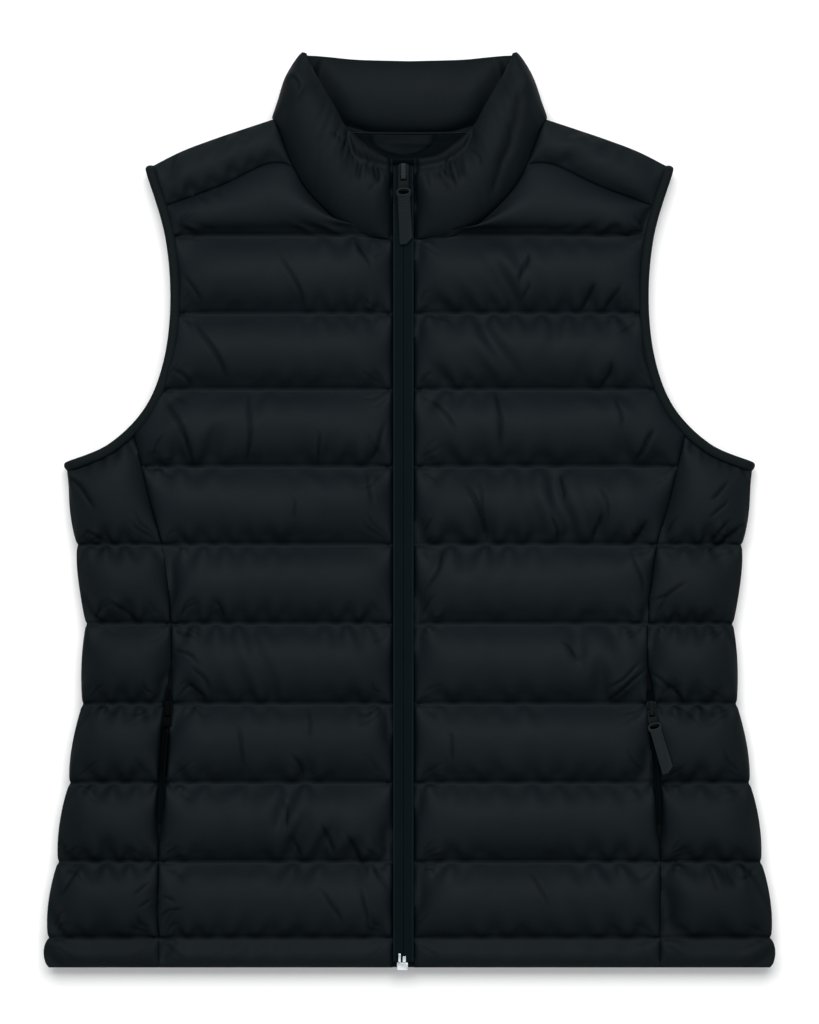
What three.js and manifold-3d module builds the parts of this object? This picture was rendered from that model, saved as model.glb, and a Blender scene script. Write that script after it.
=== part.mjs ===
// Quilted puffer vest, zipped shut and laid flat on its back. Millimetres, +Z up, +Y towards the collar.
// Left and right are the wearer's, so the wearer's left is at +X. It lies on the surface at Z = 0.

import * as THREE from "three";
import { mergeVertices } from "three/addons/utils/BufferGeometryUtils.js";
import Module from "manifold-3d";

const wasm = await Module();
wasm.setup();
const { lerp, clamp, smoothstep, degToRad } = THREE.MathUtils;

// Layers of the flat garment, from the surface up
const SEAM_GAP = 0.3;
const BACK_THICKNESS = 14;
const FRONT_BASE = BACK_THICKNESS + SEAM_GAP;
const SEAM_THICKNESS = 3;
const RIM_THICKNESS = 1.2;
const CROWN = 12;
const YOKE_CROWN = 8;
const HEM_CROWN = 4;
const BACK_EDGE_RADIUS = 8;
const PUFF_POWER = 0.6;
const FOLD_SHARE = 0.5;

// Heights of the sewn lines: the hem's edge, the hem's stitch, then each quilting line up to the yoke
const HEM_EDGE = -342;
const QUILT_LINES = [-320, -263, -203.8, -144.5, -84.5, -25.3, 33.2, 90.9, 147.9, 206.2];
const NOTCH_DEPTH = 3.6;
const LINES_BELOW_ARM = 6;

// Half outlines, from the centre line: each row is a point that the smooth edge passes through
const SIDE_SEAM = [
  { x: 274, y: -342 },
  { x: 273.8, y: -318.6 },
  { x: 268, y: -273.6 },
  { x: 257.5, y: -201.6 },
  { x: 248.5, y: -147.6 },
  { x: 245.5, y: -102.6 },
  { x: 246.5, y: -66.6 },
  { x: 252.5, y: -21.6 },
  { x: 257.6, y: 36.9 },
];
const ARMHOLE = [
  { x: 197.6, y: 254.4 },
  { x: 183.4, y: 207.1 },
  { x: 179.2, y: 158.4 },
  { x: 184.1, y: 113.4 },
  { x: 198.4, y: 77.4 },
  { x: 225.4, y: 50.4 },
  { x: 257.6, y: 36.9 },
];
const SHOULDER = [
  { x: 103.2, y: 293.2 },
  { x: 123, y: 287 },
  { x: 147, y: 279 },
  { x: 171, y: 270 },
  { x: 191, y: 260.2 },
];
const PRINCESS_SEAM = [
  { x: 187.5, y: -342 },
  { x: 188, y: -255 },
  { x: 183.5, y: -175 },
  { x: 178.5, y: -111.6 },
  { x: 180, y: -66.6 },
  { x: 185.6, y: -25 },
  { x: 195, y: 8.4 },
  { x: 206.4, y: 57 },
];
const YOKE_SEAM = [
  { x: 98, y: 261 },
  { x: 112, y: 258 },
  { x: 142, y: 243.5 },
];
const YOKE_NECK_Y = 258.5;
const YOKE_ARMHOLE_Y = 228.5;
const NECK_SEAM = [
  { x: 31, y: 206.5 },
  { x: 48, y: 213.5 },
  { x: 62, y: 225 },
  { x: 76, y: 240 },
  { x: 87, y: 258 },
  { x: 100, y: 292 },
];
const COLLAR_EDGE = [
  { x: 20, y: 266.5 },
  { x: 34, y: 276 },
  { x: 47.5, y: 288 },
  { x: 57, y: 304 },
  { x: 72.7, y: 340 },
];
const BACK_NECK = [
  { x: 100, y: 292.5 },
  { x: 80, y: 289 },
  { x: 60, y: 286.2 },
  { x: 30, y: 283.7 },
  { x: 0, y: 283 },
];
const COLLAR_BACK_EDGE = [
  { x: 72.7, y: 341.5 },
  { x: 60, y: 341.4 },
  { x: 38, y: 339.4 },
  { x: 0, y: 338.4 },
];
const COLLAR_SIDE = { seamX: 102.4, seamY: 294, edgeX: 80.6, edgeY: 344, bulge: 1.2 };
const NECK_Y = 203.8;
const NECK_RAMP = 0.2;
const COLLAR_TOP_Y = 264;

// Collar: the padded band's thickness, its fold at each side, and the places of its sections
const COLLAR_PADDING = 5.1;
const COLLAR_SEAM_HALF = 1.5;
const COLLAR_ZIP_REACH = 14;
const COLLAR_FRONT_LENGTH = 150;
const SEAM_FOLD = { across: 0.8, up: 4.5, z: 11.5 };
const FULL_FOLD = { radius: 7.1, z: 14.15, from: 0.4 };
const COLLAR_STEPS = [0, 0.08, 0.25, 0.5, 0.75, 0.92, 1];
const COLLAR_FRONT_PARTS = [0, 0.03, 0.08, 0.15, 0.24, 0.34, 0.44, 0.54, 0.64, 0.74, 0.84, 0.93];
const COLLAR_FOLD_ANGLES = [90, 60, 30, 0, -30, -60, -90];
const COLLAR_BACK_PARTS = [0.2, 0.45, 0.72];
const FACING = 0.9;

// Back neck lining and the guard behind the zip
const NECK_LINING = {
  top: 282.2,
  topHalf: 46,
  cornerY: 262,
  cornerHalf: 36,
  bottom: 253,
  bottomHalf: 24,
  thickness: 1,
};
const ZIP_GUARD = {
  bottom: 226,
  lipFront: 261,
  lipCurve: 262.5,
  lipMiddle: 262.8,
  lipBack: 264.6,
  lipTop: 21.4,
  roll: 2.4,
};

// Armhole binding
const BINDING_WIDTH = 7.2;
const BINDING_INSET = BINDING_WIDTH + 2 * SEAM_GAP;
const BINDING_FRONT = { z: 17.7, halfHeight: 3.2 };
const BINDING_BACK = { z: 7, halfHeight: 4.6 };
const BINDING_STEPS = 20;
const BINDING_END = 0.024;
const BINDING_SQUARENESS = 0.75;
const BINDING_TURN_ANGLES = [45, 0, -45];
const BINDING_CORNERS = [0, 45, 90, 135, 180, 225, 270, 315];

// Front zip: the middle of its strip lies a little to the wearer's right of the centre line
const ZIP_X = -4.6;
const TAPE_WIDTH = 7.65;
const TAPE_THICKNESS = 1.2;
const TAPE_Z = 17;
const TAPE_TOP = 258.5;
const TAPE_BOTTOM = -337.6;
const TAPE_MIDDLE_GAP = 0.3;
const ZIP_SLOT = TAPE_WIDTH + TAPE_MIDDLE_GAP / 2 + SEAM_GAP;
const SLIDER_Y = 254.2;
const ZIP_BOX = { x: -5.3, y: -340.8, width: 8.4, length: 5.7, z: 16.2, height: 3.2 };
const ZIP_PINS = [
  { name: "zip_pin_left", x: -3.9, top: -333.3, width: 2.4 },
  { name: "zip_pin_right", x: -7.4, top: -331.2, width: 1.8 },
];
const PIN_HEIGHT = 1.1;

// Pocket mouths in the princess seams
const MOUTH = { top: -116, bottom: -250, halfWidth: 5, lip: 2 };
const POCKET_TAPE = { top: -134, bottom: -234, halfWidth: 2.4, z: 15.5 };
const POCKET_SLIDER = { y: -147.5, z: POCKET_TAPE.z + TAPE_THICKNESS + SEAM_GAP, scale: 0.93 };

// Slider, link and tab, in the slider's own frame with the pull along -Y
const SLIDER = { length: 12.4, topWidth: 8.6, bottomWidth: 7, plate: 2.4, corner: 1, shoulder: 3 };
const BRIDGE = { width: 3.4, bottom: -6, top: 6.2, height: 5.8, post: 1.1, bar: 1.2, corner: 2, sunk: 0.2 };
const HINGE = { y: -2, z: 3.3 };
const LINK = {
  halfWidth: 3.9,
  length: 12.7,
  thickness: 1,
  crossbar: 0.8,
  overBar: 0.55,
  chamfer: 0.6,
  corner: 1.5,
};
const LINK_SLOT = { halfWidth: 2.5, end: 4.95 };
const TAB = { start: 10.1, lift: 1, thickness: 2, ringHalfWidth: 5.7, topHalfWidth: 4.5, length: 42.3 };
const TAB_RING = { side: 3, low: 5.5, foot: 7, corner: 0.6 };
const TAB_END = { flare: 0.3, slant: 4.6 };
const TAB_HOLE = { fromTop: 3.1, halfWidth: 4.2, halfLength: 2 };

// Large folds pressed into the outer faces: from one end to the other, depth and half width
const FOLDS = [
  { fromX: -170, fromY: 178, toX: -156, toY: 156, depth: 3, halfWidth: 7 },
  { fromX: -160, fromY: 141, toX: -136, toY: 99, depth: 4, halfWidth: 8 },
  { fromX: -183, fromY: 85, toX: -160, toY: 33, depth: 4, halfWidth: 8 },
  { fromX: -120, fromY: 87, toX: -122, toY: 33, depth: 3, halfWidth: 7 },
  { fromX: -18, fromY: 65, toX: -33, toY: 33, depth: 3, halfWidth: 7 },
  { fromX: 64, fromY: 90, toX: 69, toY: 45, depth: 3, halfWidth: 7 },
  { fromX: 18, fromY: 82, toX: 35, toY: 60, depth: 3, halfWidth: 7 },
  { fromX: 182, fromY: 62, toX: 168, toY: 38, depth: 4, halfWidth: 8 },
  { fromX: 180, fromY: -117, toX: 147, toY: -141, depth: 4, halfWidth: 7 },
  { fromX: 184, fromY: -122, toX: 210, toY: -145, depth: 4, halfWidth: 6 },
  { fromX: -257, fromY: 27, toX: -234, toY: 1, depth: 3, halfWidth: 6 },
  { fromX: 249, fromY: -6, toX: 215, toY: -29, depth: 3, halfWidth: 6 },
  { fromX: -48, fromY: -240, toX: -33, toY: -272, depth: 3, halfWidth: 7 },
  { fromX: 80, fromY: 304, toX: 62, toY: 240, depth: 4, halfWidth: 5 },
  { fromX: -38, fromY: 262, toX: -30, toY: 242, depth: 4, halfWidth: 5 },
  { fromX: 22, fromY: 262, toX: 32, toY: 240, depth: 4, halfWidth: 5 },
];

// Places of the grid's rows in one quilted strip, and of its columns across a panel
const ROW_STEPS = [0, 0.06, 0.2, 0.5, 0.8, 0.94, 1];
const HEM_STEPS = [0, 0.12, 0.5, 0.88, 1];
const NECK_STEPS = [0, 0.07, 0.18, 0.3, 0.42, 0.54, 0.66, 0.78, 0.89, 0.96, 1];
const FRONT_COLUMNS = [0, 0.02, 0.06, 0.13, 0.22, 0.32, 0.42, 0.52, 0.62, 0.72, 0.82, 0.9, 0.96, 0.985, 1];
const SIDE_COLUMNS = [0, 0.05, 0.15, 0.32, 0.5, 0.68, 0.84, 0.95, 1];

// Reach of the rounding in from a panel's two side edges
const FRONT_REACH = { innerReach: 13, outerReach: 20 };
const SIDE_REACH = { innerReach: 18, outerReach: 26 };
const YOKE_REACH = { innerReach: 14, outerReach: 16 };

// Places along the back's outline
const BACK_HEM_PARTS = [0.25, 0.5, 0.75];
const BACK_SIDE_STEPS = [0.06, 0.2, 0.5, 0.8, 0.94, 1];
const BACK_SHOULDER_PARTS = [0.75, 0.5, 0.25, 0];
const BACK_NECK_PARTS = [0.02, 0.25, 0.5, 0.75];
const BACK_ARMHOLE_STEPS = 16;
const BACK_UNDERARM_EASE = 3;
const BACK_EDGE_ANGLES = [0, 30, 60, 90];

const SHELL = new THREE.MeshStandardMaterial({ color: "#1f2527", roughness: 0.5 });
const TRIM = new THREE.MeshStandardMaterial({ color: "#1a2022", roughness: 0.6 });
const LINING = new THREE.MeshStandardMaterial({ color: "#1c2325", roughness: 0.55 });
const TAPE = new THREE.MeshStandardMaterial({ color: "#11171a", roughness: 0.8 });
const DARK_METAL = new THREE.MeshStandardMaterial({ color: "#3a4346", roughness: 0.4, metalness: 1 });
const BRIGHT_METAL = new THREE.MeshStandardMaterial({ color: "#b9bfc2", roughness: 0.3, metalness: 1 });
const RUBBER = new THREE.MeshStandardMaterial({ color: "#23292c", roughness: 0.55 });

// Lines in plan: closely spaced points on a smooth curve through the rows of a table
function smoothLine(rows, count = 80) {
  const curve = new THREE.SplineCurve(rows.map(({ x, y }) => new THREE.Vector2(x, y)));
  return curve.getSpacedPoints(count);
}

function along(line, part) {
  const place = part * (line.length - 1);
  const index = Math.min(Math.floor(place), line.length - 2);
  return line[index].clone().lerp(line[index + 1], place - index);
}

function xAt(line, y) {
  const rising = line.at(-1).y > line[0].y;
  const index = line.findIndex((point) => (rising ? point.y >= y : point.y <= y));
  if (index === 0) return line[0].x;
  if (index < 0) return line.at(-1).x;
  const before = line[index - 1];
  const after = line[index];
  return lerp(before.x, after.x, (y - before.y) / (after.y - before.y));
}

// Points moved to the left of the line's direction
function offsetLine(line, distance) {
  return line.map((point, index) => {
    const next = line[Math.min(index + 1, line.length - 1)];
    const before = line[Math.max(index - 1, 0)];
    const direction = next.clone().sub(before).normalize();
    return new THREE.Vector2(point.x - direction.y * distance, point.y + direction.x * distance);
  });
}

const sideSeam = smoothLine(SIDE_SEAM);
const princessSeam = smoothLine(PRINCESS_SEAM);
const armholeEdge = smoothLine(ARMHOLE);
const armholeSeam = [new THREE.Vector2(191, 260.2), ...offsetLine(armholeEdge, -BINDING_INSET)];
const shoulderEdge = smoothLine(SHOULDER);

// Distance from the centre line to each side of the front zip's slot
function zipEdge(side) {
  return side * ZIP_X + ZIP_SLOT;
}

function neckSeam(side) {
  return smoothLine([{ x: zipEdge(side), y: NECK_Y }, ...NECK_SEAM]);
}

// The panels' side of the neck seam, split where the yoke seam meets it
function panelNeck(side) {
  const line = offsetLine(neckSeam(side), -2 * SEAM_GAP);
  const split = line.findIndex((point) => point.y > YOKE_NECK_Y);
  return { front: line.slice(0, split + 1), yoke: line.slice(split) };
}

function yokeSeam(side) {
  const armholeEnd = { x: xAt(armholeSeam, YOKE_ARMHOLE_Y), y: YOKE_ARMHOLE_Y };
  return smoothLine([panelNeck(side).yoke[0], ...YOKE_SEAM, armholeEnd]);
}

// Padding between two sewn lines: 0 on a line, 1 on the crown
function puff(part) {
  return Math.pow(Math.max(0, Math.sin(Math.PI * part)), PUFF_POWER);
}

// Quarter-round climb from an edge, over a reach
function climb(distance, reach) {
  const left = 1 - clamp(distance / reach, 0, 1);
  return Math.sqrt(1 - left * left);
}

function mouthOpen(y) {
  const middle = (MOUTH.top + MOUTH.bottom) / 2;
  const part = (y - middle) / ((MOUTH.top - MOUTH.bottom) / 2);
  return Math.max(0, 1 - part ** 4);
}

function foldDepth(x, y) {
  let depth = 0;
  for (const fold of FOLDS) {
    const start = new THREE.Vector2(fold.fromX, fold.fromY);
    const run = new THREE.Vector2(fold.toX, fold.toY).sub(start);
    const reach = new THREE.Vector2(x, y).sub(start);
    const part = clamp(reach.dot(run) / run.lengthSq(), 0, 1);
    const distance = reach.sub(run.multiplyScalar(part)).length();
    depth += fold.depth * Math.exp(-((distance / fold.halfWidth) ** 2));
  }
  return depth;
}

// Rows of points between two sewn lines, whose ends follow the edges at the sides (a Coons patch)
function strip({ bottom, top, inner, outer, steps, columns }) {
  return steps.map((t) => {
    const innerSlip = inner(t).sub(bottom(0).lerp(top(0), t));
    const outerSlip = outer(t).sub(bottom(1).lerp(top(1), t));
    return columns.map((u) => {
      const point = bottom(u).lerp(top(u), t);
      return point.addScaledVector(innerSlip, 1 - u).addScaledVector(outerSlip, u);
    });
  });
}

// Lifts a strip's rows to the outer face: edges low at their seams, full between them
function raise(rows, steps, side, { crown, low, high, innerReach, outerReach, innerRim, outerRim }) {
  return rows.map((row, index) => {
    const t = steps[index];
    const full = lerp(low, high, t) + crown * puff(t);
    return row.map((point) => {
      const inner = lerp(innerRim(point.y), full, climb(point.distanceTo(row[0]), innerReach));
      const outer = lerp(outerRim(point.y), full, climb(point.distanceTo(row.at(-1)), outerReach));
      const spare = Math.min(inner, outer) - RIM_THICKNESS;
      const dent = Math.min(foldDepth(side * point.x, point.y), spare * FOLD_SHARE);
      const height = FRONT_BASE + RIM_THICKNESS + spare - dent;
      return new THREE.Vector3(side * point.x, point.y, height);
    });
  });
}

// Geometry from points and triangles, with shared vertices merged
function closedGeometry(points, triangles) {
  const geometry = new THREE.BufferGeometry().setFromPoints(points);
  geometry.setIndex(triangles.flat());
  return mergeVertices(geometry, 1e-3);
}

// Triangles that fill a flat loop of points, facing up or down
function capTriangles(loop, start, facingUp) {
  const triangles = THREE.ShapeUtils.triangulateShape(loop, []);
  const areaOf = (triangle) => THREE.ShapeUtils.area(triangle.map((index) => loop[index]));
  const area = triangles.reduce((sum, triangle) => sum + areaOf(triangle), 0);
  const turned = area > 0 !== facingUp;
  return triangles.map((triangle) => {
    const indices = triangle.map((index) => index + start);
    return turned ? indices.reverse() : indices;
  });
}

// Indices of a grid's outermost points, in order round it
function rimOf(rows, columns) {
  const at = (row, column) => row * columns + column;
  const rim = [];
  for (let column = 0; column < columns; column += 1) rim.push(at(0, column));
  for (let row = 1; row < rows; row += 1) rim.push(at(row, columns - 1));
  for (let column = columns - 2; column >= 0; column -= 1) rim.push(at(rows - 1, column));
  for (let row = rows - 2; row > 0; row -= 1) rim.push(at(row, 0));
  return rim;
}

// Closed body under a grid of outer points: the grid, walls round it and one flat face below
function panelGeometry(grid, base) {
  const rows = grid.length;
  const columns = grid[0].length;
  const at = (row, column) => row * columns + column;
  const rim = rimOf(rows, columns);
  const points = grid.flat();
  const start = points.length;
  const loop = rim.map((index) => new THREE.Vector2(points[index].x, points[index].y));
  points.push(...loop.map(({ x, y }) => new THREE.Vector3(x, y, base)));
  const triangles = [];
  for (let row = 0; row < rows - 1; row += 1) {
    for (let column = 0; column < columns - 1; column += 1) {
      const [a, b] = [at(row, column), at(row, column + 1)];
      const [c, d] = [at(row + 1, column + 1), at(row + 1, column)];
      triangles.push([a, b, c], [a, c, d]);
    }
  }
  rim.forEach((index, place) => {
    const after = (place + 1) % rim.length;
    triangles.push([index, start + place, start + after], [index, start + after, rim[after]]);
  });
  const mirrored = THREE.ShapeUtils.area(loop) < 0;
  const outward = mirrored ? triangles.map((triangle) => triangle.toReversed()) : triangles;
  return closedGeometry(points, [...outward, ...capTriangles(loop, start, false)]);
}

// Closed body through rings of equal length: open ends get flat caps, a closed run joins its last ring
function ringGeometry(rings, closed = false) {
  const size = rings[0].length;
  const spans = closed ? rings.length : rings.length - 1;
  const triangles = [];
  for (let ring = 0; ring < spans; ring += 1) {
    const here = ring * size;
    const there = ((ring + 1) % rings.length) * size;
    for (let place = 0; place < size; place += 1) {
      const next = (place + 1) % size;
      triangles.push([here + place, here + next, there + next], [here + place, there + next, there + place]);
    }
  }
  if (!closed) {
    for (let place = 1; place < size - 1; place += 1) {
      const last = (rings.length - 1) * size;
      triangles.push([0, place + 1, place], [last, last + place, last + place + 1]);
    }
  }
  return closedGeometry(rings.flat(), triangles);
}

// Turns every triangle round where a body came out inside out
function facingOut(geometry) {
  const position = geometry.getAttribute("position");
  const index = geometry.getIndex();
  const corners = [new THREE.Vector3(), new THREE.Vector3(), new THREE.Vector3()];
  let volume = 0;
  for (let place = 0; place < index.count; place += 3) {
    corners.forEach((corner, turn) => corner.fromBufferAttribute(position, index.getX(place + turn)));
    volume += corners[0].dot(corners[1].clone().cross(corners[2]));
  }
  if (volume < 0) index.array.reverse();
  return geometry;
}

function mesh(name, geometry, material) {
  const piece = new THREE.Mesh(geometry, material);
  piece.name = name;
  return piece;
}

// Only position and shared vertices are kept on a geometry made by a three.js class
function plain(geometry) {
  geometry.deleteAttribute("normal");
  geometry.deleteAttribute("uv");
  return mergeVertices(geometry, 1e-3);
}

function joined(first, second) {
  const [a, b] = [first, second].map((geometry) => {
    const vertProperties = new Float32Array(geometry.getAttribute("position").array);
    const triVerts = new Uint32Array(geometry.getIndex().array);
    return new wasm.Manifold(new wasm.Mesh({ numProp: 3, vertProperties, triVerts }));
  });
  const result = a.add(b).getMesh();
  const geometry = new THREE.BufferGeometry();
  geometry.setAttribute("position", new THREE.BufferAttribute(result.vertProperties, 3));
  geometry.setIndex(new THREE.BufferAttribute(result.triVerts, 1));
  return geometry;
}

const level = (y) => (x) => new THREE.Vector2(x, y);
const seamRim = (y) => SEAM_THICKNESS + MOUTH.lip * mouthOpen(y);
const zipRim = () => SEAM_THICKNESS;
const outlineRim = () => RIM_THICKNESS;

function princessX(y, side) {
  return xAt(princessSeam, y) + side * (SEAM_GAP / 2 + MOUTH.halfWidth * mouthOpen(y));
}

// Outer edge of the centre front: the princess seam, then the armhole above it
function frontOuterX(y) {
  const armholeX = xAt(armholeSeam, y);
  return y > PRINCESS_SEAM.at(-1).y ? armholeX : Math.min(princessX(y, -1), armholeX);
}

// Side edge of the body, drawn in where a quilting line meets it
function sideX(y, part) {
  return xAt(sideSeam, y) - NOTCH_DEPTH * (1 - puff(part));
}

// Outer faces of the strips between level sewn lines, with the hem's the lowest; their last row is left out
function quiltedStrips({ lines, innerX, outerX, columns, side, look }) {
  const grid = [];
  for (let index = 0; index < lines.length - 1; index += 1) {
    const [bottom, top] = [lines[index], lines[index + 1]];
    const steps = index === 0 ? HEM_STEPS : ROW_STEPS;
    const inner = (t) => {
      const y = lerp(bottom(0).y, top(0).y, t);
      return level(y)(innerX(y));
    };
    const outer = (t) => {
      const y = lerp(bottom(1).y, top(1).y, t);
      return level(y)(outerX(y, t));
    };
    const rows = strip({ bottom, top, inner, outer, steps, columns });
    const stripLook = index === 0 ? { ...look, crown: HEM_CROWN, low: RIM_THICKNESS } : look;
    grid.push(...raise(rows, steps, side, stripLook).slice(0, -1));
  }
  return grid;
}

// The sewn lines that bound the strips of a centre front, each a function of the place across
function frontLines(side) {
  const inner = zipEdge(side);
  const heights = [HEM_EDGE, ...QUILT_LINES.slice(0, -1)];
  const lines = heights.map((y) => (u) => level(y)(lerp(inner, frontOuterX(y), u)));
  const lastY = QUILT_LINES.at(-1);
  lines.push((u) => {
    const y = lerp(NECK_Y, lastY, smoothstep(u, 0, NECK_RAMP));
    return new THREE.Vector2(lerp(inner, frontOuterX(lastY), u), y);
  });
  return lines;
}

function frontPanel(name, side) {
  const lines = frontLines(side);
  const look = {
    crown: CROWN,
    low: SEAM_THICKNESS,
    high: SEAM_THICKNESS,
    innerRim: zipRim,
    outerRim: seamRim,
    ...FRONT_REACH,
  };
  const innerX = () => zipEdge(side);
  const grid = quiltedStrips({ lines, innerX, outerX: frontOuterX, columns: FRONT_COLUMNS, side, look });
  const neck = panelNeck(side).front;
  const topSeam = yokeSeam(side);
  const last = lines.at(-1);
  const rows = strip({
    bottom: last,
    top: (u) => along(topSeam, u),
    inner: (t) => (t === 0 ? last(0) : along(neck, t)),
    outer: (t) => {
      const y = lerp(last(1).y, YOKE_ARMHOLE_Y, t);
      return level(y)(frontOuterX(y));
    },
    steps: NECK_STEPS,
    columns: FRONT_COLUMNS,
  });
  grid.push(...raise(rows, NECK_STEPS, side, look));
  return mesh(name, panelGeometry(grid, FRONT_BASE), SHELL);
}

// The sewn lines across a side panel
function sideLines() {
  const heights = [HEM_EDGE, ...QUILT_LINES.slice(0, LINES_BELOW_ARM)];
  return heights.map((y) => (u) => level(y)(lerp(princessX(y, 1), sideX(y, 0), u)));
}

function underarmSeam() {
  const start = PRINCESS_SEAM.at(-1);
  const first = armholeSeam.findIndex((point) => point.y < start.y);
  const seam = [new THREE.Vector2(princessX(start.y, 1), start.y), ...armholeSeam.slice(first + 1)];
  const curve = new THREE.SplineCurve(seam);
  return curve.getSpacedPoints(40);
}

function sidePanel(name, side) {
  const lines = sideLines();
  const look = {
    crown: CROWN,
    low: SEAM_THICKNESS,
    high: SEAM_THICKNESS,
    innerRim: seamRim,
    outerRim: outlineRim,
    ...SIDE_REACH,
  };
  const innerX = (y) => princessX(y, 1);
  const grid = quiltedStrips({ lines, innerX, outerX: sideX, columns: SIDE_COLUMNS, side, look });
  const seam = underarmSeam();
  const last = lines.at(-1);
  const rows = strip({
    bottom: last,
    top: (u) => along(seam, u),
    inner: (t) => {
      const y = lerp(last(0).y, seam[0].y, t);
      return level(y)(innerX(y));
    },
    outer: (t) => {
      const y = lerp(last(1).y, seam.at(-1).y, t);
      return level(y)(sideX(y, t));
    },
    steps: ROW_STEPS,
    columns: SIDE_COLUMNS,
  });
  grid.push(...raise(rows, ROW_STEPS, side, look));
  return mesh(name, panelGeometry(grid, FRONT_BASE), SHELL);
}

function yoke(name, side) {
  const neck = panelNeck(side).yoke;
  const bottomSeam = yokeSeam(side);
  const rise = new THREE.Vector2(0, SEAM_GAP);
  const topY = armholeSeam[0].y;
  const rows = strip({
    bottom: (u) => along(bottomSeam, u).add(rise),
    top: (u) => along(shoulderEdge, u),
    inner: (t) => {
      if (t === 0) return along(bottomSeam, 0).add(rise);
      return t === 1 ? shoulderEdge[0].clone() : along(neck, t);
    },
    outer: (t) => {
      const y = lerp(YOKE_ARMHOLE_Y + SEAM_GAP, topY, t);
      return level(y)(xAt(armholeSeam, y));
    },
    steps: ROW_STEPS,
    columns: FRONT_COLUMNS,
  });
  const look = {
    crown: YOKE_CROWN,
    low: SEAM_THICKNESS,
    high: RIM_THICKNESS,
    innerRim: zipRim,
    outerRim: seamRim,
    ...YOKE_REACH,
  };
  return mesh(name, panelGeometry(raise(rows, ROW_STEPS, side, look), FRONT_BASE), SHELL);
}

// One half of the back's outline, from the hem's middle round to the neck's middle; round says how much
// of its lower edge is rounded there
function backHalfOutline() {
  const outline = [];
  const add = (point, round, inward) => outline.push({ point, round, inward: inward.clone().normalize() });
  const [left, up] = [new THREE.Vector2(-1, 0), new THREE.Vector2(0, 1)];
  for (const part of BACK_HEM_PARTS) add(level(HEM_EDGE)(part * SIDE_SEAM[0].x), 1, up);
  add(level(HEM_EDGE)(sideX(HEM_EDGE, 0)), 1, new THREE.Vector2(-1, 1));
  const underarm = armholeSeam.at(-1).y - BACK_UNDERARM_EASE;
  const heights = [HEM_EDGE, ...QUILT_LINES.slice(0, LINES_BELOW_ARM), underarm];
  for (let index = 0; index < heights.length - 1; index += 1) {
    for (const t of BACK_SIDE_STEPS) {
      const y = lerp(heights[index], heights[index + 1], t);
      add(level(y)(sideX(y, t)), 1, left);
    }
  }
  for (let step = 0; step <= BACK_ARMHOLE_STEPS; step += 1) {
    add(along(armholeSeam, 1 - step / BACK_ARMHOLE_STEPS), 0, left);
  }
  const shoulderInward = new THREE.Vector2(-0.3, -1);
  for (const part of BACK_SHOULDER_PARTS) add(along(shoulderEdge, part), 1, shoulderInward);
  const neck = offsetLine(smoothLine(BACK_NECK), 2 * SEAM_GAP);
  for (const part of BACK_NECK_PARTS) add(along(neck, part), 0, up);
  return outline;
}

// The whole outline: one half, the neck's middle, the other half and the hem's middle
function backOutline() {
  const half = backHalfOutline();
  const mirror = ({ point, round, inward }) => ({
    point: new THREE.Vector2(-point.x, point.y),
    round,
    inward: new THREE.Vector2(-inward.x, inward.y),
  });
  const neckY = BACK_NECK.at(-1).y - 2 * SEAM_GAP;
  const neckMiddle = { point: level(neckY)(0), round: 0, inward: new THREE.Vector2(0, -1) };
  const hemMiddle = { point: level(HEM_EDGE)(0), round: 1, inward: new THREE.Vector2(0, 1) };
  return [hemMiddle, ...half, neckMiddle, ...half.toReversed().map(mirror)];
}

function backPanel() {
  const outline = backOutline();
  const rings = BACK_EDGE_ANGLES.map(degToRad).map((angle) => {
    const inset = BACK_EDGE_RADIUS * (1 - Math.sin(angle));
    const z = BACK_EDGE_RADIUS * (1 - Math.cos(angle));
    return outline.map(({ point, round, inward }) => {
      const moved = point.clone().addScaledVector(inward, inset * round);
      return new THREE.Vector3(moved.x, moved.y, z);
    });
  });
  rings.push(outline.map(({ point }) => new THREE.Vector3(point.x, point.y, BACK_THICKNESS)));
  const size = outline.length;
  const triangles = [];
  for (let ring = 0; ring < rings.length - 1; ring += 1) {
    for (let place = 0; place < size; place += 1) {
      const next = (place + 1) % size;
      const [a, b] = [ring * size + place, ring * size + next];
      triangles.push([a, b, b + size], [a, b + size, a + size]);
    }
  }
  const flat = (ring) => ring.map(({ x, y }) => new THREE.Vector2(x, y));
  triangles.push(...capTriangles(flat(rings[0]), 0, false));
  triangles.push(...capTriangles(flat(rings.at(-1)), (rings.length - 1) * size, true));
  return mesh("back", closedGeometry(rings.flat(), triangles), SHELL);
}

// Collar: one padded band from the zip round the neck and back, turned over at each side
function collarHalfThickness(v, fromZip) {
  const padded = COLLAR_SEAM_HALF + COLLAR_PADDING * puff(v);
  return lerp(COLLAR_SEAM_HALF, padded, climb(fromZip, COLLAR_ZIP_REACH));
}

// Half widths of the turned-over fold, across and up, and the height of its middle
function collarFold(v) {
  const grow = smoothstep(v, 0, FULL_FOLD.from);
  return {
    across: lerp(SEAM_FOLD.across, FULL_FOLD.radius, grow),
    up: lerp(SEAM_FOLD.up, FULL_FOLD.radius, grow),
    z: lerp(SEAM_FOLD.z, FULL_FOLD.z, grow),
  };
}

// The inner face stays above the back where the collar lies in front, and below that level behind
function innerFaceZ(z, facing) {
  if (facing > FACING) return Math.max(z, FRONT_BASE);
  return facing < -FACING ? Math.min(z, BACK_THICKNESS - SEAM_GAP) : z;
}

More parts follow.
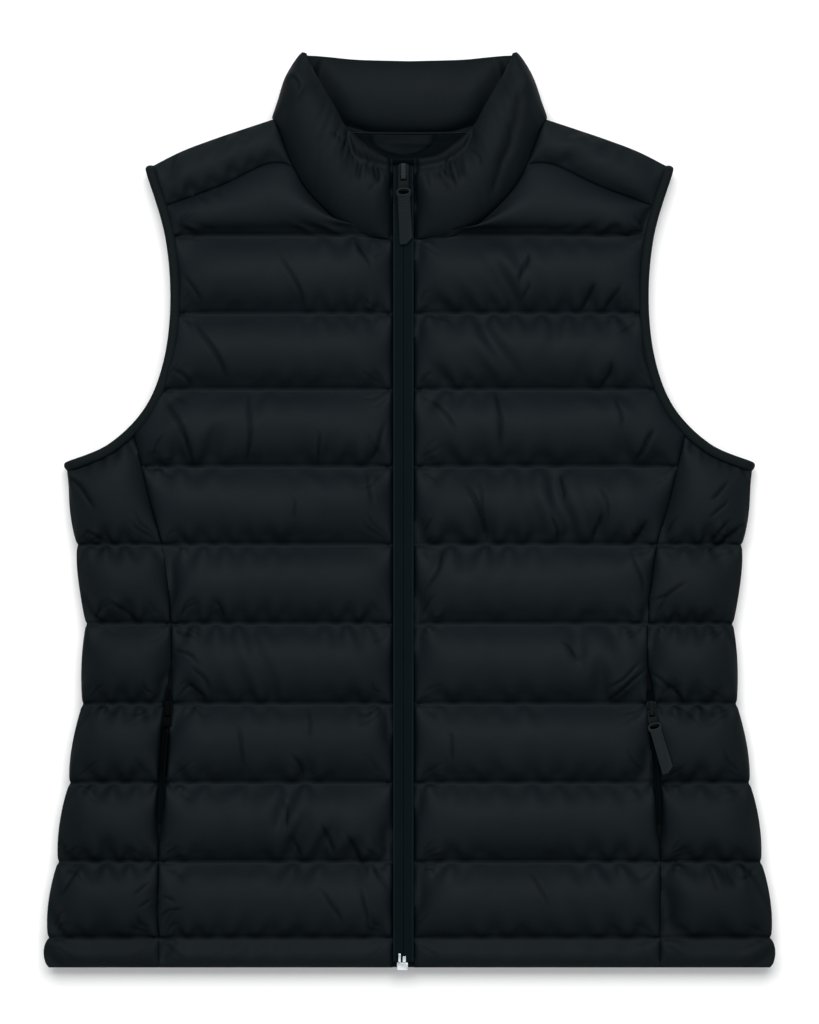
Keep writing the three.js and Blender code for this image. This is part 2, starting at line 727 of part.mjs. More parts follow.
// The section's loop: outer face from seam to edge, then inner face back to the seam
function collarSection(middle, normal, half, side) {
  const outer = COLLAR_STEPS.map((v) => [v, 1]);
  const inner = COLLAR_STEPS.toReversed().map((v) => [v, -1]);
  return [...outer, ...inner].map(([v, face]) => {
    const centre = middle(v);
    const out = normal.clone().multiplyScalar(face * half(v));
    const point = centre.add(out);
    const pressed = face * normal.z > 0.5 ? Math.min(foldDepth(side * point.x, point.y), half(v)) : 0;
    const outerZ = Math.max(0, point.z - pressed);
    return new THREE.Vector3(side * point.x, point.y, face > 0 ? outerZ : innerFaceZ(point.z, normal.z));
  });
}

function collarFront(side) {
  const front = neckSeam(side);
  const edge = smoothLine([{ x: zipEdge(side), y: COLLAR_TOP_Y }, ...COLLAR_EDGE]);
  return COLLAR_FRONT_PARTS.map((part) => {
    const middle = (v) => {
      const point = along(front, part).lerp(along(edge, part), v);
      const { up: radius, z } = collarFold(v);
      return new THREE.Vector3(point.x, point.y, z + radius);
    };
    const half = (v) => collarHalfThickness(v, part * COLLAR_FRONT_LENGTH);
    return collarSection(middle, new THREE.Vector3(0, 0, 1), half, side);
  });
}

function collarTurn(side) {
  const { seamX, seamY, edgeX, edgeY, bulge } = COLLAR_SIDE;
  const up = new THREE.Vector3(0, 0, 1);
  const outward = new THREE.Vector3(edgeY - seamY, seamX - edgeX, 0).normalize();
  const half = (v) => collarHalfThickness(v, Infinity);
  return COLLAR_FOLD_ANGLES.map(degToRad).map((angle) => {
    const middle = (v) => {
      const { across, up: radius, z } = collarFold(v);
      const swell = bulge * Math.sin(Math.PI * v);
      const point = new THREE.Vector3(lerp(seamX, edgeX, v) + swell, lerp(seamY, edgeY, v), z);
      point.addScaledVector(outward, across * (Math.cos(angle) - 1) - half(v));
      return point.addScaledVector(up, radius * Math.sin(angle));
    };
    const normal = outward.clone().multiplyScalar(Math.cos(angle)).addScaledVector(up, Math.sin(angle));
    return collarSection(middle, normal, half, side);
  });
}

function collarBack(side) {
  const backSeam = smoothLine(BACK_NECK);
  const backEdge = smoothLine(COLLAR_BACK_EDGE);
  return COLLAR_BACK_PARTS.map((part) => {
    const middle = (v) => {
      const point = along(backSeam, part).lerp(along(backEdge, part), v);
      const { up: radius, z } = collarFold(v);
      return new THREE.Vector3(point.x, point.y, z - radius);
    };
    return collarSection(middle, new THREE.Vector3(0, 0, -1), (v) => collarHalfThickness(v, Infinity), side);
  });
}

function collarHalf(side) {
  return [...collarFront(side), ...collarTurn(side), ...collarBack(side)];
}

function collar() {
  const { y: seamY } = BACK_NECK.at(-1);
  const { y: edgeY } = COLLAR_BACK_EDGE.at(-1);
  const middle = (v) => {
    const { up: radius, z } = collarFold(v);
    return new THREE.Vector3(0, lerp(seamY, edgeY, v), z - radius);
  };
  const half = (v) => collarHalfThickness(v, Infinity);
  const nape = collarSection(middle, new THREE.Vector3(0, 0, -1), half, 1);
  const rings = [...collarHalf(1), nape, ...collarHalf(-1).toReversed()];
  return mesh("collar", facingOut(ringGeometry(rings)), SHELL);
}

// Armhole binding: one strip round the front and back edges, turned over at the shoulder and underarm
function bindingStations() {
  const middle = offsetLine(armholeEdge, -BINDING_WIDTH / 2);
  const turnRadius = (BINDING_FRONT.z - BINDING_BACK.z) / 2;
  const turnZ = (BINDING_FRONT.z + BINDING_BACK.z) / 2;
  const stationAt = (part, angle, halfHeight, reach) => {
    const before = along(middle, Math.max(0, part - 0.01));
    const direction = along(middle, Math.min(1, part + 0.01)).sub(before).normalize();
    const point = along(middle, part);
    const lift = new THREE.Vector3(direction.x, direction.y, 0).multiplyScalar(Math.cos(angle) * reach);
    lift.z = Math.sin(angle);
    const centre = new THREE.Vector3(point.x, point.y, turnZ).addScaledVector(lift, turnRadius);
    const across = new THREE.Vector3(-direction.y, direction.x, 0);
    return { centre, across, lift: lift.normalize(), halfHeight };
  };
  const parts = Array.from({ length: BINDING_STEPS + 1 }, (_, step) => step / BINDING_STEPS);
  const places = parts.map((part) => lerp(BINDING_END, 1 - BINDING_END, part));
  const turned = (part, angles, reach) => angles.map((angle) => {
    const halfHeight = lerp(BINDING_BACK.halfHeight, BINDING_FRONT.halfHeight, angle / 90 + 0.5);
    return stationAt(part, degToRad(angle), halfHeight, reach);
  });
  return [
    ...places.map((part) => stationAt(part, Math.PI / 2, BINDING_FRONT.halfHeight, 1)),
    ...turned(1 - BINDING_END, BINDING_TURN_ANGLES, 1),
    ...places.toReversed().map((part) => stationAt(part, -Math.PI / 2, BINDING_BACK.halfHeight, 1)),
    ...turned(BINDING_END, BINDING_TURN_ANGLES.toReversed(), -1),
  ];
}

function binding(name, side) {
  const squared = (value) => Math.sign(value) * Math.abs(value) ** BINDING_SQUARENESS;
  const corners = BINDING_CORNERS.map(degToRad);
  const rings = bindingStations().map(({ centre, across, lift, halfHeight }) => corners.map((corner) => {
    const point = centre.clone().addScaledVector(across, (squared(Math.cos(corner)) * BINDING_WIDTH) / 2);
    point.addScaledVector(lift, squared(Math.sin(corner)) * halfHeight);
    return new THREE.Vector3(side * point.x, point.y, point.z);
  }));
  return mesh(name, facingOut(ringGeometry(rings, true)), TRIM);
}

// Back neck lining that shows in the neck, lying on the back below the collar's inner seam
function neckLining() {
  const { top, topHalf, cornerY, cornerHalf, bottom, bottomHalf, thickness } = NECK_LINING;
  const shape = new THREE.Shape();
  shape.moveTo(-topHalf, top);
  shape.quadraticCurveTo(-cornerHalf, cornerY, -bottomHalf, bottom);
  shape.lineTo(bottomHalf, bottom);
  shape.quadraticCurveTo(cornerHalf, cornerY, topHalf, top);
  const settings = { depth: thickness, bevelEnabled: false, curveSegments: 6 };
  const geometry = new THREE.ExtrudeGeometry(shape, settings);
  geometry.translate(0, 0, FRONT_BASE);
  return mesh("neck_lining", plain(geometry), LINING);
}

// Guard behind the zip: thin below the slider, with a rolled top edge that shows above it
function zipGuard() {
  const { bottom, lipFront, lipCurve, lipMiddle, lipBack, lipTop, roll } = ZIP_GUARD;
  const width = 2 * ZIP_SLOT - 2 * SEAM_GAP;
  const floor = FRONT_BASE + NECK_LINING.thickness + SEAM_GAP;
  const underTape = TAPE_Z - SEAM_GAP;
  const profile = new THREE.Shape();
  profile.moveTo(bottom, floor);
  profile.lineTo(lipCurve, floor);
  profile.quadraticCurveTo(lipBack, floor, lipBack, floor + roll);
  profile.quadraticCurveTo(lipBack, lipTop, lipMiddle, lipTop);
  profile.quadraticCurveTo(lipFront, lipTop, lipFront, lipTop - roll);
  profile.lineTo(lipFront, underTape);
  profile.lineTo(bottom, underTape);
  const geometry = extrudeSideways(profile, width, 4);
  geometry.translate(ZIP_X, 0, 0);
  return mesh("zip_guard", geometry, LINING);
}

// A profile drawn in the YZ plane, extruded across X about the middle
function extrudeSideways(profile, width, curveSegments) {
  const geometry = new THREE.ExtrudeGeometry(profile, { depth: width, bevelEnabled: false, curveSegments });
  geometry.translate(0, 0, -width / 2);
  const toYZ = new THREE.Matrix4().makeBasis(
    new THREE.Vector3(0, 1, 0),
    new THREE.Vector3(0, 0, 1),
    new THREE.Vector3(1, 0, 0),
  );
  geometry.applyMatrix4(toYZ);
  return plain(geometry);
}

function box(name, { x, y, z }, { width, length, height }, material) {
  const piece = mesh(name, plain(new THREE.BoxGeometry(width, length, height)), material);
  piece.position.set(x, y, z + height / 2);
  return piece;
}

function zipTapes() {
  const length = TAPE_TOP - TAPE_BOTTOM;
  const y = (TAPE_TOP + TAPE_BOTTOM) / 2;
  const offset = (TAPE_WIDTH + TAPE_MIDDLE_GAP) / 2;
  const size = { width: TAPE_WIDTH, length, height: TAPE_THICKNESS };
  return [
    box("zip_tape_left", { x: ZIP_X + offset, y, z: TAPE_Z }, size, TAPE),
    box("zip_tape_right", { x: ZIP_X - offset, y, z: TAPE_Z }, size, TAPE),
  ];
}

// Retainer box at the zip's foot, with the two pins that stand in it
function zipFoot() {
  const pinZ = TAPE_Z + TAPE_THICKNESS + SEAM_GAP;
  const { width, length, height } = ZIP_BOX;
  const pinBottom = ZIP_BOX.y + length / 2 + SEAM_GAP;
  const pins = ZIP_PINS.map(({ name, x, top, width: pinWidth }) => {
    const size = { width: pinWidth, length: top - pinBottom, height: PIN_HEIGHT };
    return box(name, { x, y: (top + pinBottom) / 2, z: pinZ }, size, BRIGHT_METAL);
  });
  return [box("zip_box", ZIP_BOX, { width, length, height }, BRIGHT_METAL), ...pins];
}

function pocketTape(name, side) {
  const { top, bottom, halfWidth, z } = POCKET_TAPE;
  const shape = new THREE.Shape();
  const heights = [bottom, lerp(bottom, top, 0.25), lerp(bottom, top, 0.5), lerp(bottom, top, 0.75), top];
  const centre = (y) => side * xAt(princessSeam, y);
  const outline = [
    ...heights.map((y) => new THREE.Vector2(centre(y) - halfWidth, y)),
    ...heights.toReversed().map((y) => new THREE.Vector2(centre(y) + halfWidth, y)),
  ];
  shape.setFromPoints(outline);
  const geometry = new THREE.ExtrudeGeometry(shape, { depth: TAPE_THICKNESS, bevelEnabled: false });
  geometry.translate(0, 0, z);
  return mesh(name, plain(geometry), TAPE);
}

// Slider: a shield-shaped plate with a bridge over it, which the link hangs from
function sliderGeometry() {
  const { length, topWidth, bottomWidth, plate, corner, shoulder } = SLIDER;
  const [halfTop, halfBottom, halfLength] = [topWidth / 2, bottomWidth / 2, length / 2];
  const outline = new THREE.Shape();
  outline.moveTo(-halfBottom, -halfLength + corner);
  outline.quadraticCurveTo(-halfBottom, -halfLength, -halfBottom + corner, -halfLength);
  outline.lineTo(halfBottom - corner, -halfLength);
  outline.quadraticCurveTo(halfBottom, -halfLength, halfBottom, -halfLength + corner);
  outline.lineTo(halfTop, halfLength - shoulder);
  outline.quadraticCurveTo(halfTop, halfLength, 0, halfLength);
  outline.quadraticCurveTo(-halfTop, halfLength, -halfTop, halfLength - shoulder);
  const body = new THREE.ExtrudeGeometry(outline, { depth: plate, bevelEnabled: false, curveSegments: 4 });
  return joined(plain(body), extrudeSideways(bridgeProfile(), BRIDGE.width, 4));
}

function bridgeProfile() {
  const { bottom, top, height, post, bar, corner, sunk } = BRIDGE;
  const foot = SLIDER.plate - sunk;
  const arch = new THREE.Shape();
  arch.moveTo(bottom, foot);
  arch.lineTo(bottom + post, foot);
  arch.lineTo(bottom + post, height - bar);
  arch.lineTo(top - post, height - bar);
  arch.lineTo(top - post, foot);
  arch.lineTo(top, foot);
  arch.lineTo(top, height - bar);
  arch.quadraticCurveTo(top, height, top - corner, height);
  arch.lineTo(bottom + corner, height);
  arch.quadraticCurveTo(bottom, height, bottom, height - bar);
  return arch;
}

function linkGeometry() {
  const { halfWidth, length, thickness, crossbar, overBar, chamfer, corner } = LINK;
  const outline = new THREE.Shape();
  outline.moveTo(-halfWidth, overBar - chamfer);
  outline.lineTo(-halfWidth + chamfer, overBar);
  outline.lineTo(halfWidth - chamfer, overBar);
  outline.lineTo(halfWidth, overBar - chamfer);
  outline.lineTo(halfWidth, -length + corner);
  outline.quadraticCurveTo(halfWidth, -length, halfWidth - corner, -length);
  outline.lineTo(-halfWidth + corner, -length);
  outline.quadraticCurveTo(-halfWidth, -length, -halfWidth, -length + corner);
  const slot = new THREE.Path();
  slot.moveTo(-LINK_SLOT.halfWidth, -crossbar);
  slot.lineTo(-LINK_SLOT.halfWidth, -LINK_SLOT.end);
  slot.lineTo(LINK_SLOT.halfWidth, -LINK_SLOT.end);
  slot.lineTo(LINK_SLOT.halfWidth, -crossbar);
  outline.holes.push(slot);
  const settings = { depth: thickness, bevelEnabled: false, curveSegments: 4 };
  const geometry = new THREE.ExtrudeGeometry(outline, settings);
  geometry.translate(0, 0, -thickness / 2);
  return plain(geometry);
}

// Moulded tab: a ring at its top, a band below and an end cut on the slant
function tabGeometry() {
  const { ringHalfWidth, topHalfWidth, length, thickness } = TAB;
  const { side, low, foot, corner } = TAB_RING;
  const outline = new THREE.Shape();
  outline.moveTo(-topHalfWidth, -foot);
  outline.quadraticCurveTo(-ringHalfWidth, -low, -ringHalfWidth, -side);
  outline.quadraticCurveTo(-ringHalfWidth + corner, 0, 0, 0);
  outline.quadraticCurveTo(ringHalfWidth - corner, 0, ringHalfWidth, -side);
  outline.quadraticCurveTo(ringHalfWidth, -low, topHalfWidth, -foot);
  outline.lineTo(topHalfWidth + TAB_END.flare, -length + TAB_END.slant);
  outline.lineTo(0, -length);
  outline.lineTo(-topHalfWidth - TAB_END.flare, -length);
  const hole = new THREE.Path();
  hole.absellipse(0, -TAB_HOLE.fromTop, TAB_HOLE.halfWidth, TAB_HOLE.halfLength, 0, 2 * Math.PI, false, 0);
  outline.holes.push(hole);
  const settings = { depth: thickness, bevelEnabled: false, curveSegments: 5 };
  const geometry = new THREE.ExtrudeGeometry(outline, settings);
  return plain(geometry);
}

// Turns for a piece that points along -Y: yaw towards +X, pitch up, roll about its length
function turn(piece, { yaw = 0, pitch = 0, roll = 0 }) {
  piece.rotation.set(-degToRad(pitch), degToRad(roll), degToRad(yaw), "ZXY");
}

function puller({ names, x, y, z, scale, link, tab, tabSlip = 0, tabRise = 0 }) {
  const whole = new THREE.Group();
  whole.position.set(x, y, z);
  whole.scale.setScalar(scale);
  const swinging = new THREE.Group();
  swinging.position.set(0, HINGE.y, HINGE.z);
  turn(swinging, link);
  const tabMesh = mesh(names.tab, tabGeometry(), RUBBER);
  tabMesh.position.set(0, -TAB.start - tabSlip, TAB.lift + tabRise);
  turn(tabMesh, tab);
  swinging.add(mesh(names.link, linkGeometry(), DARK_METAL), tabMesh);
  whole.add(mesh(names.slider, sliderGeometry(), DARK_METAL), swinging);
  return whole;
}

function frontPuller() {
  return puller({
    names: { slider: "zip_slider", link: "zip_link", tab: "zip_tab" },
    x: ZIP_X,
    y: SLIDER_Y,
    z: TAPE_Z + TAPE_THICKNESS + SEAM_GAP,
    scale: 1,
    link: {},
    tab: { yaw: 2.8, pitch: -5.2 },
  });
}

function pocketPuller(name, side, link, tab, extra) {
  const { y, z, scale } = POCKET_SLIDER;
  return puller({
    names: { slider: `pocket_slider_${name}`, link: `pocket_link_${name}`, tab: `pocket_tab_${name}` },
    x: side * xAt(princessSeam, y),
    y,
    z,
    scale,
    link,
    tab,
    ...extra,
  });
}

const vest = new THREE.Group();
vest.add(
  backPanel(),
  frontPanel("front_left", 1),
  frontPanel("front_right", -1),
  sidePanel("side_left", 1),
  sidePanel("side_right", -1),
  yoke("yoke_left", 1),
  yoke("yoke_right", -1),
  collar(),
  binding("binding_left", 1),
  binding("binding_right", -1),
  neckLining(),
  zipGuard(),
  ...zipTapes(),
  frontPuller(),
  ...zipFoot(),
  pocketTape("pocket_tape_left", 1),
  pocketTape("pocket_tape_right", -1),
  pocketPuller("left", 1, { yaw: 8, pitch: 5 }, { yaw: 8, pitch: 6.5 }, {}),
  pocketPuller("right", -1, { yaw: -3 }, { yaw: -1, roll: 90 }, { tabSlip: 3, tabRise: 1.5 }),
);

export default vest;
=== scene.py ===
# Quilted puffer vest, zipped shut and laid flat: cloth, padding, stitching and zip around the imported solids.
# Tables are in millimetres in the part's frame, and meshes are scaled to metres when they are made.

import math
import bpy
import numpy as np
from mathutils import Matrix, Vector


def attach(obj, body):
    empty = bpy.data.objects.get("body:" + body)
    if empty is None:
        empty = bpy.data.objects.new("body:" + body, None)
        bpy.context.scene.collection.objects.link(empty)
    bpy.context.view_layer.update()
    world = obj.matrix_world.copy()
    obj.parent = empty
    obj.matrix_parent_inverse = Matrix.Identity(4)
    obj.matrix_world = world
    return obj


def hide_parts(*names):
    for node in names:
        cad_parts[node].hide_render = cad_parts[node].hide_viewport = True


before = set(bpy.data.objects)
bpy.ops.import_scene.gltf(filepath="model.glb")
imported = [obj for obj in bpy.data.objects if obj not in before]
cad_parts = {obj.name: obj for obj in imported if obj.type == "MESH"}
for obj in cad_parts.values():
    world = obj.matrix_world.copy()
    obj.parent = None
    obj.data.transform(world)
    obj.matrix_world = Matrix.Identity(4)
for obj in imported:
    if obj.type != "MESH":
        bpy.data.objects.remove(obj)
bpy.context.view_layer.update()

MM = 0.001
PHOTO_MIDDLE = (409.5, 511.2)
MM_PER_PIXEL = 0.75

SEAM_GAP = 0.3
BACK_THICKNESS = 14.0
FRONT_BASE = BACK_THICKNESS + SEAM_GAP
SEAM_THICKNESS = 3.0
RIM_THICKNESS = 1.2
LOOSE_CROWN = 10.5
YOKE_CROWN = 8.0
HEM_CROWN = 4.0

HEM_EDGE = -342.0
QUILT_LINES = [-320.0, -263.0, -203.8, -144.5, -84.5, -25.3, 33.2, 90.9, 147.9, 206.2]
NOTCH_DEPTH = 3.6
UNDERARM_LINE = 6

SIDE_SEAM = [(274, -342), (273.8, -318.6), (268, -273.6), (257.5, -201.6), (248.5, -147.6), (245.5, -102.6),
             (246.5, -66.6), (252.5, -21.6), (257.6, 36.9)]
ARMHOLE = [(197.6, 254.4), (183.4, 207.1), (179.2, 158.4), (184.1, 113.4), (198.4, 77.4), (225.4, 50.4),
           (257.6, 36.9)]
SHOULDER = [(99.5, 294.6), (123, 287), (147, 279), (171, 270), (192.2, 259.4)]
PRINCESS_SEAM = [(187.5, -342), (188, -255), (183.5, -175), (178.5, -111.6), (180, -66.6), (185.6, -25),
                 (195, 8.4), (206.4, 57)]
YOKE_SEAM = [(98, 261), (112, 258), (142, 243.5)]
YOKE_NECK_Y = 258.5
YOKE_ARMHOLE_Y = 228.5
NECK_SEAM = [(31, 206.5), (48, 213.5), (62, 225), (76, 240), (87, 258), (100, 292)]
COLLAR_EDGE = [(20, 266.5), (34, 276), (47.5, 288), (56.5, 304), (70.2, 327), (77.2, 341)]
BACK_NECK = [(100, 292.5), (80, 289), (60, 286.2), (30, 283.7), (0, 283)]
COLLAR_BACK_EDGE = [(77.2, 342.5), (60, 341.4), (38, 339.4), (0, 338.4)]
COLLAR_SIDE_SEAM = (102.4, 294)
COLLAR_SIDE_EDGE = (80.6, 344)
COLLAR_BULGE = -0.6
NECK_Y = 203.8
COLLAR_TOP_Y = 264.0
COLLAR_RADIUS = 7.1
COLLAR_PADDING = 5.1
COLLAR_SEAM_HALF = 1.5
ZIP_MARGIN = 2.4
ZIP_DROP = 1.6
# Painted shade on the collar: on its rolled strip, all over, in its creases, and beside the zip above the floor
# height
ROLL_SHADE = 0.42
COLLAR_SHADE = 0.26
COLLAR_CREASE_SHADE = 0.34
COLLAR_FRONT_FLOOR = 13.0

BINDING_WIDTH = 7.2
BINDING_TUCK = BINDING_WIDTH - 1.4
BINDING_FRONT = (17.7, 3.2)
BINDING_BACK = (7.0, 4.6)
BINDING_ENDS = (0.020, 0.974)

ZIP_X = -4.6
TAPE_WIDTH = 7.65
TAPE_THICKNESS = 1.2
TAPE_Z = 17.0
TAPE_TOP = 258.5
TAPE_BOTTOM = -337.6
TAPE_MIDDLE_GAP = 0.3
# Painted shade on the zip's tapes, all but their woven edges, and darker on the pocket tapes in the slits
TAPE_SHADE = 0.62
MOUTH_TAPE_SHADE = 0.93
ZIP_SLOT = TAPE_WIDTH + TAPE_MIDDLE_GAP / 2 + SEAM_GAP
TAB_TOP = (241.9, 24.79)
TAB_SLOPE = 0.094
TAB_RIBS = [(235.8, 0.5), (232.4, 0.34), (230.4, 0.34), (228.4, 0.34)]

MOUTH_TOP = -116.0
MOUTH_BOTTOM = -250.0
MOUTH_HALF_WIDTH = 2.4
MOUTH_LIP = 2.0
POCKET_TAPE_TOP = -134.0
POCKET_TAPE_BOTTOM = -234.0
POCKET_TAPE_HALF_WIDTH = 2.4
POCKET_TAPE_Z = 14.6

# Creases in the padded cloth, each from one place of the photo to another, with its depth and half width
CREASES = [
    ((183, 274), (202, 304), 1.6, 4.0), ((281, 255), (305, 307), 1.7, 4.5),
    ((354, 242), (372, 271), 1.6, 4.0), ((196, 323), (228, 379), 2.4, 5.0),
    ((173, 369), (199, 392), 2.0, 4.0), ((166, 398), (196, 467), 2.6, 5.0),
    ((250, 395), (246, 467), 1.8, 4.5), ((318, 431), (317, 464), 1.5, 4.0),
    ((385, 424), (366, 467), 1.8, 4.5), ((238, 724), (243, 767), 1.5, 4.0),
    ((307, 708), (310, 740), 1.3, 4.0), ((284, 799), (287, 829), 1.4, 4.0),
    ((346, 832), (366, 874), 2.2, 4.5), ((320, 887), (343, 923), 1.6, 4.0),
    ((189, 682), (209, 705), 1.8, 4.0), ((67, 475), (97, 509), 2.0, 5.0),
    ((87, 530), (111, 549), 1.8, 4.0), ((111, 600), (139, 625), 1.8, 4.0),
    ((93, 616), (111, 625), 1.5, 3.5), ((495, 392), (501, 451), 2.0, 5.0),
    ((433, 402), (456, 431), 1.9, 4.5), ((652, 429), (633, 461), 3.0, 5.0),
    ((729, 520), (693, 551), 2.5, 4.0), ((743, 522), (706, 551), 2.3, 4.0),
    ((727, 481), (708, 500), 1.6, 4.0), ((685, 581), (650, 600), 1.7, 4.0),
    ((705, 866), (716, 892), 1.5, 3.5), ((722, 864), (733, 886), 1.5, 3.5),
    ((738, 863), (746, 879), 1.3, 3.0), ((646, 667), (600, 703), 2.4, 3.6),
    ((640, 661), (606, 688), 1.8, 3.2), ((649, 671), (686, 704), 2.4, 3.6),
    ((673, 706), (699, 724), 1.4, 3.0), ((686, 703), (713, 715), 1.4, 3.0),
    ((176, 632), (198, 640), 1.6, 3.2), ((174, 648), (200, 663), 1.8, 3.4),
    ((527, 254), (516, 285), 2.2, 4.0), ((529, 281), (520, 301), 1.4, 3.6),
    ((594, 283), (578, 311), 2.4, 4.0), ((620, 284), (600, 312), 1.5, 4.0),
    ((612, 362), (598, 389), 1.9, 4.0), ((615, 398), (621, 430), 1.8, 4.0),
    ((558, 474), (562, 502), 1.6, 3.6), ((466, 482), (490, 547), 2.6, 4.4),
    ((478, 480), (482, 514), 1.4, 3.4), ((600, 486), (607, 518), 1.8, 3.6),
    ((600, 512), (589, 543), 2.2, 4.0), ((551, 514), (557, 542), 1.8, 3.6),
    ((646, 519), (629, 545), 1.6, 4.0), ((443, 550), (426, 590), 1.9, 4.0),
    ((630, 550), (643, 592), 1.7, 3.6), ((727, 499), (707, 517), 1.5, 3.6),
    ((364, 472), (372, 506), 1.5, 4.0), ((292, 494), (294, 520), 1.3, 3.4),
    ((215, 600), (225, 618), 1.4, 3.4), ((193, 666), (213, 692), 1.8, 4.0),
    ((293, 753), (305, 779), 1.9, 3.8), ((321, 823), (334, 853), 2.2, 4.0),
    ((290, 834), (301, 857), 1.5, 3.6), ((361, 888), (368, 926), 1.6, 4.0),
    ((371, 866), (389, 891), 1.5, 3.6), ((136, 894), (152, 882), 1.6, 3.0),
    ((140, 907), (154, 899), 1.6, 3.0), ((161, 895), (176, 902), 1.6, 3.0),
    ((161, 915), (184, 906), 2.0, 3.2), ((63, 895), (83, 866), 1.6, 4.0),
    ((560, 640), (580, 662), 1.4, 4.0), ((530, 872), (548, 905), 1.5, 4.0),
    ((448, 728), (452, 762), 1.4, 4.0),
]


def spot(place):
    """A place of the photo, in the part's frame."""
    return np.array([
        (place[0] - PHOTO_MIDDLE[0]) * MM_PER_PIXEL,
        (PHOTO_MIDDLE[1] - place[1]) * MM_PER_PIXEL,
    ])


def smooth_line(rows, count=80):
    """Evenly spaced points on a Catmull-Rom curve through the rows."""
    points = np.array(rows, float)
    padded = np.vstack([points[:1], points, points[-1:]])
    parts = np.linspace(0, 1, 41)[:, None]
    pieces = []
    for index in range(len(points) - 1):
        a, b, c, d = padded[index:index + 4]
        first = 2 * b + (c - a) * parts
        second = (2 * a - 5 * b + 4 * c - d) * parts ** 2
        third = (3 * b - a - 3 * c + d) * parts ** 3
        pieces.append((first + second + third)[:-1] / 2)
    dense = np.vstack([*pieces, points[-1:]])
    reach = np.concatenate([[0], np.cumsum(np.linalg.norm(np.diff(dense, axis=0), axis=1))])
    places = np.linspace(0, reach[-1], count + 1)
    return np.stack([np.interp(places, reach, dense[:, axis]) for axis in range(2)], axis=1)


def along(line, part):
    places = np.asarray(part, float) * (len(line) - 1)
    return np.stack([np.interp(places, np.arange(len(line)), line[:, axis]) for axis in range(2)], axis=-1)


def x_at(line, y):
    ordered = line if line[-1, 1] > line[0, 1] else line[::-1]
    return np.interp(y, ordered[:, 1], ordered[:, 0])


def offset_line(line, distance):
    """Points moved to the left of the line's direction."""
    after = np.vstack([line[1:], line[-1:]])
    before = np.vstack([line[:1], line[:-1]])
    direction = after - before
    direction /= np.linalg.norm(direction, axis=1)[:, None]
    return line + distance * np.stack([-direction[:, 1], direction[:, 0]], axis=1)


def lerp(a, b, t):
    return a + (b - a) * t


def smoothstep(value, low, high):
    part = np.clip((value - low) / (high - low), 0, 1)
    return part * part * (3 - 2 * part)


def bell(distance, width):
    return np.exp(-(distance / width) ** 2)


side_seam = smooth_line(SIDE_SEAM)
princess_seam = smooth_line(PRINCESS_SEAM)
armhole_edge = smooth_line(ARMHOLE)
armhole_seam = np.vstack([[192.2, 258.9], offset_line(armhole_edge, -BINDING_TUCK)])
shoulder_edge = smooth_line(SHOULDER)


def zip_edge(side):
    return side * ZIP_X + ZIP_SLOT


def neck_seam(side):
    return smooth_line([(zip_edge(side), NECK_Y), *NECK_SEAM])


def panel_neck(side):
    line = offset_line(neck_seam(side), -2 * SEAM_GAP)
    split = int(np.argmax(line[:, 1] > YOKE_NECK_Y))
    return line[:split + 1], line[split:]


def yoke_seam(side):
    end = (x_at(armhole_seam, YOKE_ARMHOLE_Y), YOKE_ARMHOLE_Y)
    return smooth_line([panel_neck(side)[1][0], *YOKE_SEAM, end])


def puff(part):
    return np.maximum(0, np.sin(np.pi * np.clip(part, 0, 1))) ** 0.6


def filled(part):
    """Height of the filling up a channel: it lies low in it, so the lower side is the steeper one."""
    sunk = np.clip(part, 0, 1) ** 0.74
    return np.maximum(0, np.sin(np.pi * sunk)) ** 0.72


def taper(distance, reach):
    """Soft rise from a panel's side edge."""
    return np.sin(np.clip(distance / reach, 0, 1) * np.pi / 2) ** 0.75


def climb(distance, reach):
    left = 1 - np.clip(distance / reach, 0, 1)
    return np.sqrt(1 - left * left)


def mouth_open(y):
    part = (y - (MOUTH_TOP + MOUTH_BOTTOM) / 2) / ((MOUTH_TOP - MOUTH_BOTTOM) / 2)
    return np.maximum(0, 1 - part ** 4)


def princess_x(y, side):
    return x_at(princess_seam, y) + side * (SEAM_GAP / 2 + MOUTH_HALF_WIDTH * mouth_open(y))


def front_outer_x(y):
    armhole_x = x_at(armhole_seam, y)
    return np.where(y > PRINCESS_SEAM[-1][1], armhole_x, np.minimum(princess_x(y, -1), armhole_x))


def side_x(y, part):
    return x_at(side_seam, y) - NOTCH_DEPTH * (1 - puff(part))


def plan(x, y):
    x, y = np.broadcast_arrays(np.asarray(x, float), np.asarray(y, float))
    return np.stack([x, y], axis=-1)


def coons(bottom, top, inner, outer):
    """Rows of points between two sewn lines, whose ends follow the edges at the sides."""
    u = np.linspace(0, 1, len(bottom))[None, :, None]
    t = np.linspace(0, 1, len(inner))[:, None]
    inner_slip = inner - lerp(bottom[0], top[0], t)
    outer_slip = outer - lerp(bottom[-1], top[-1], t)
    rows = lerp(bottom[None], top[None], t[:, None])
    return rows + inner_slip[:, None] * (1 - u) + outer_slip[:, None] * u


def seam_rim(y):
    return SEAM_THICKNESS + MOUTH_LIP * mouth_open(y)


def zip_rim(y):
    return np.full_like(y, SEAM_THICKNESS)


def outline_rim(y):
    return np.full_like(y, RIM_THICKNESS)


def raise_rows(rows, crown, low, high, reaches, rims):
    """Lifts a strip's rows to the outer face: low at its seams, full between them."""
    t = np.linspace(0, 1, len(rows))[:, None]
    full = lerp(low, high, t) + crown * filled(t)
    inner_reach = np.linalg.norm(rows - rows[:, :1], axis=2)
    outer_reach = np.linalg.norm(rows - rows[:, -1:], axis=2)
    inner = lerp(rims[0](rows[..., 1]), full, taper(inner_reach, reaches[0]))
    outer = lerp(rims[1](rows[..., 1]), full, taper(outer_reach, reaches[1]))
    return np.dstack([rows, FRONT_BASE + np.minimum(inner, outer)])


# Cloth over filling

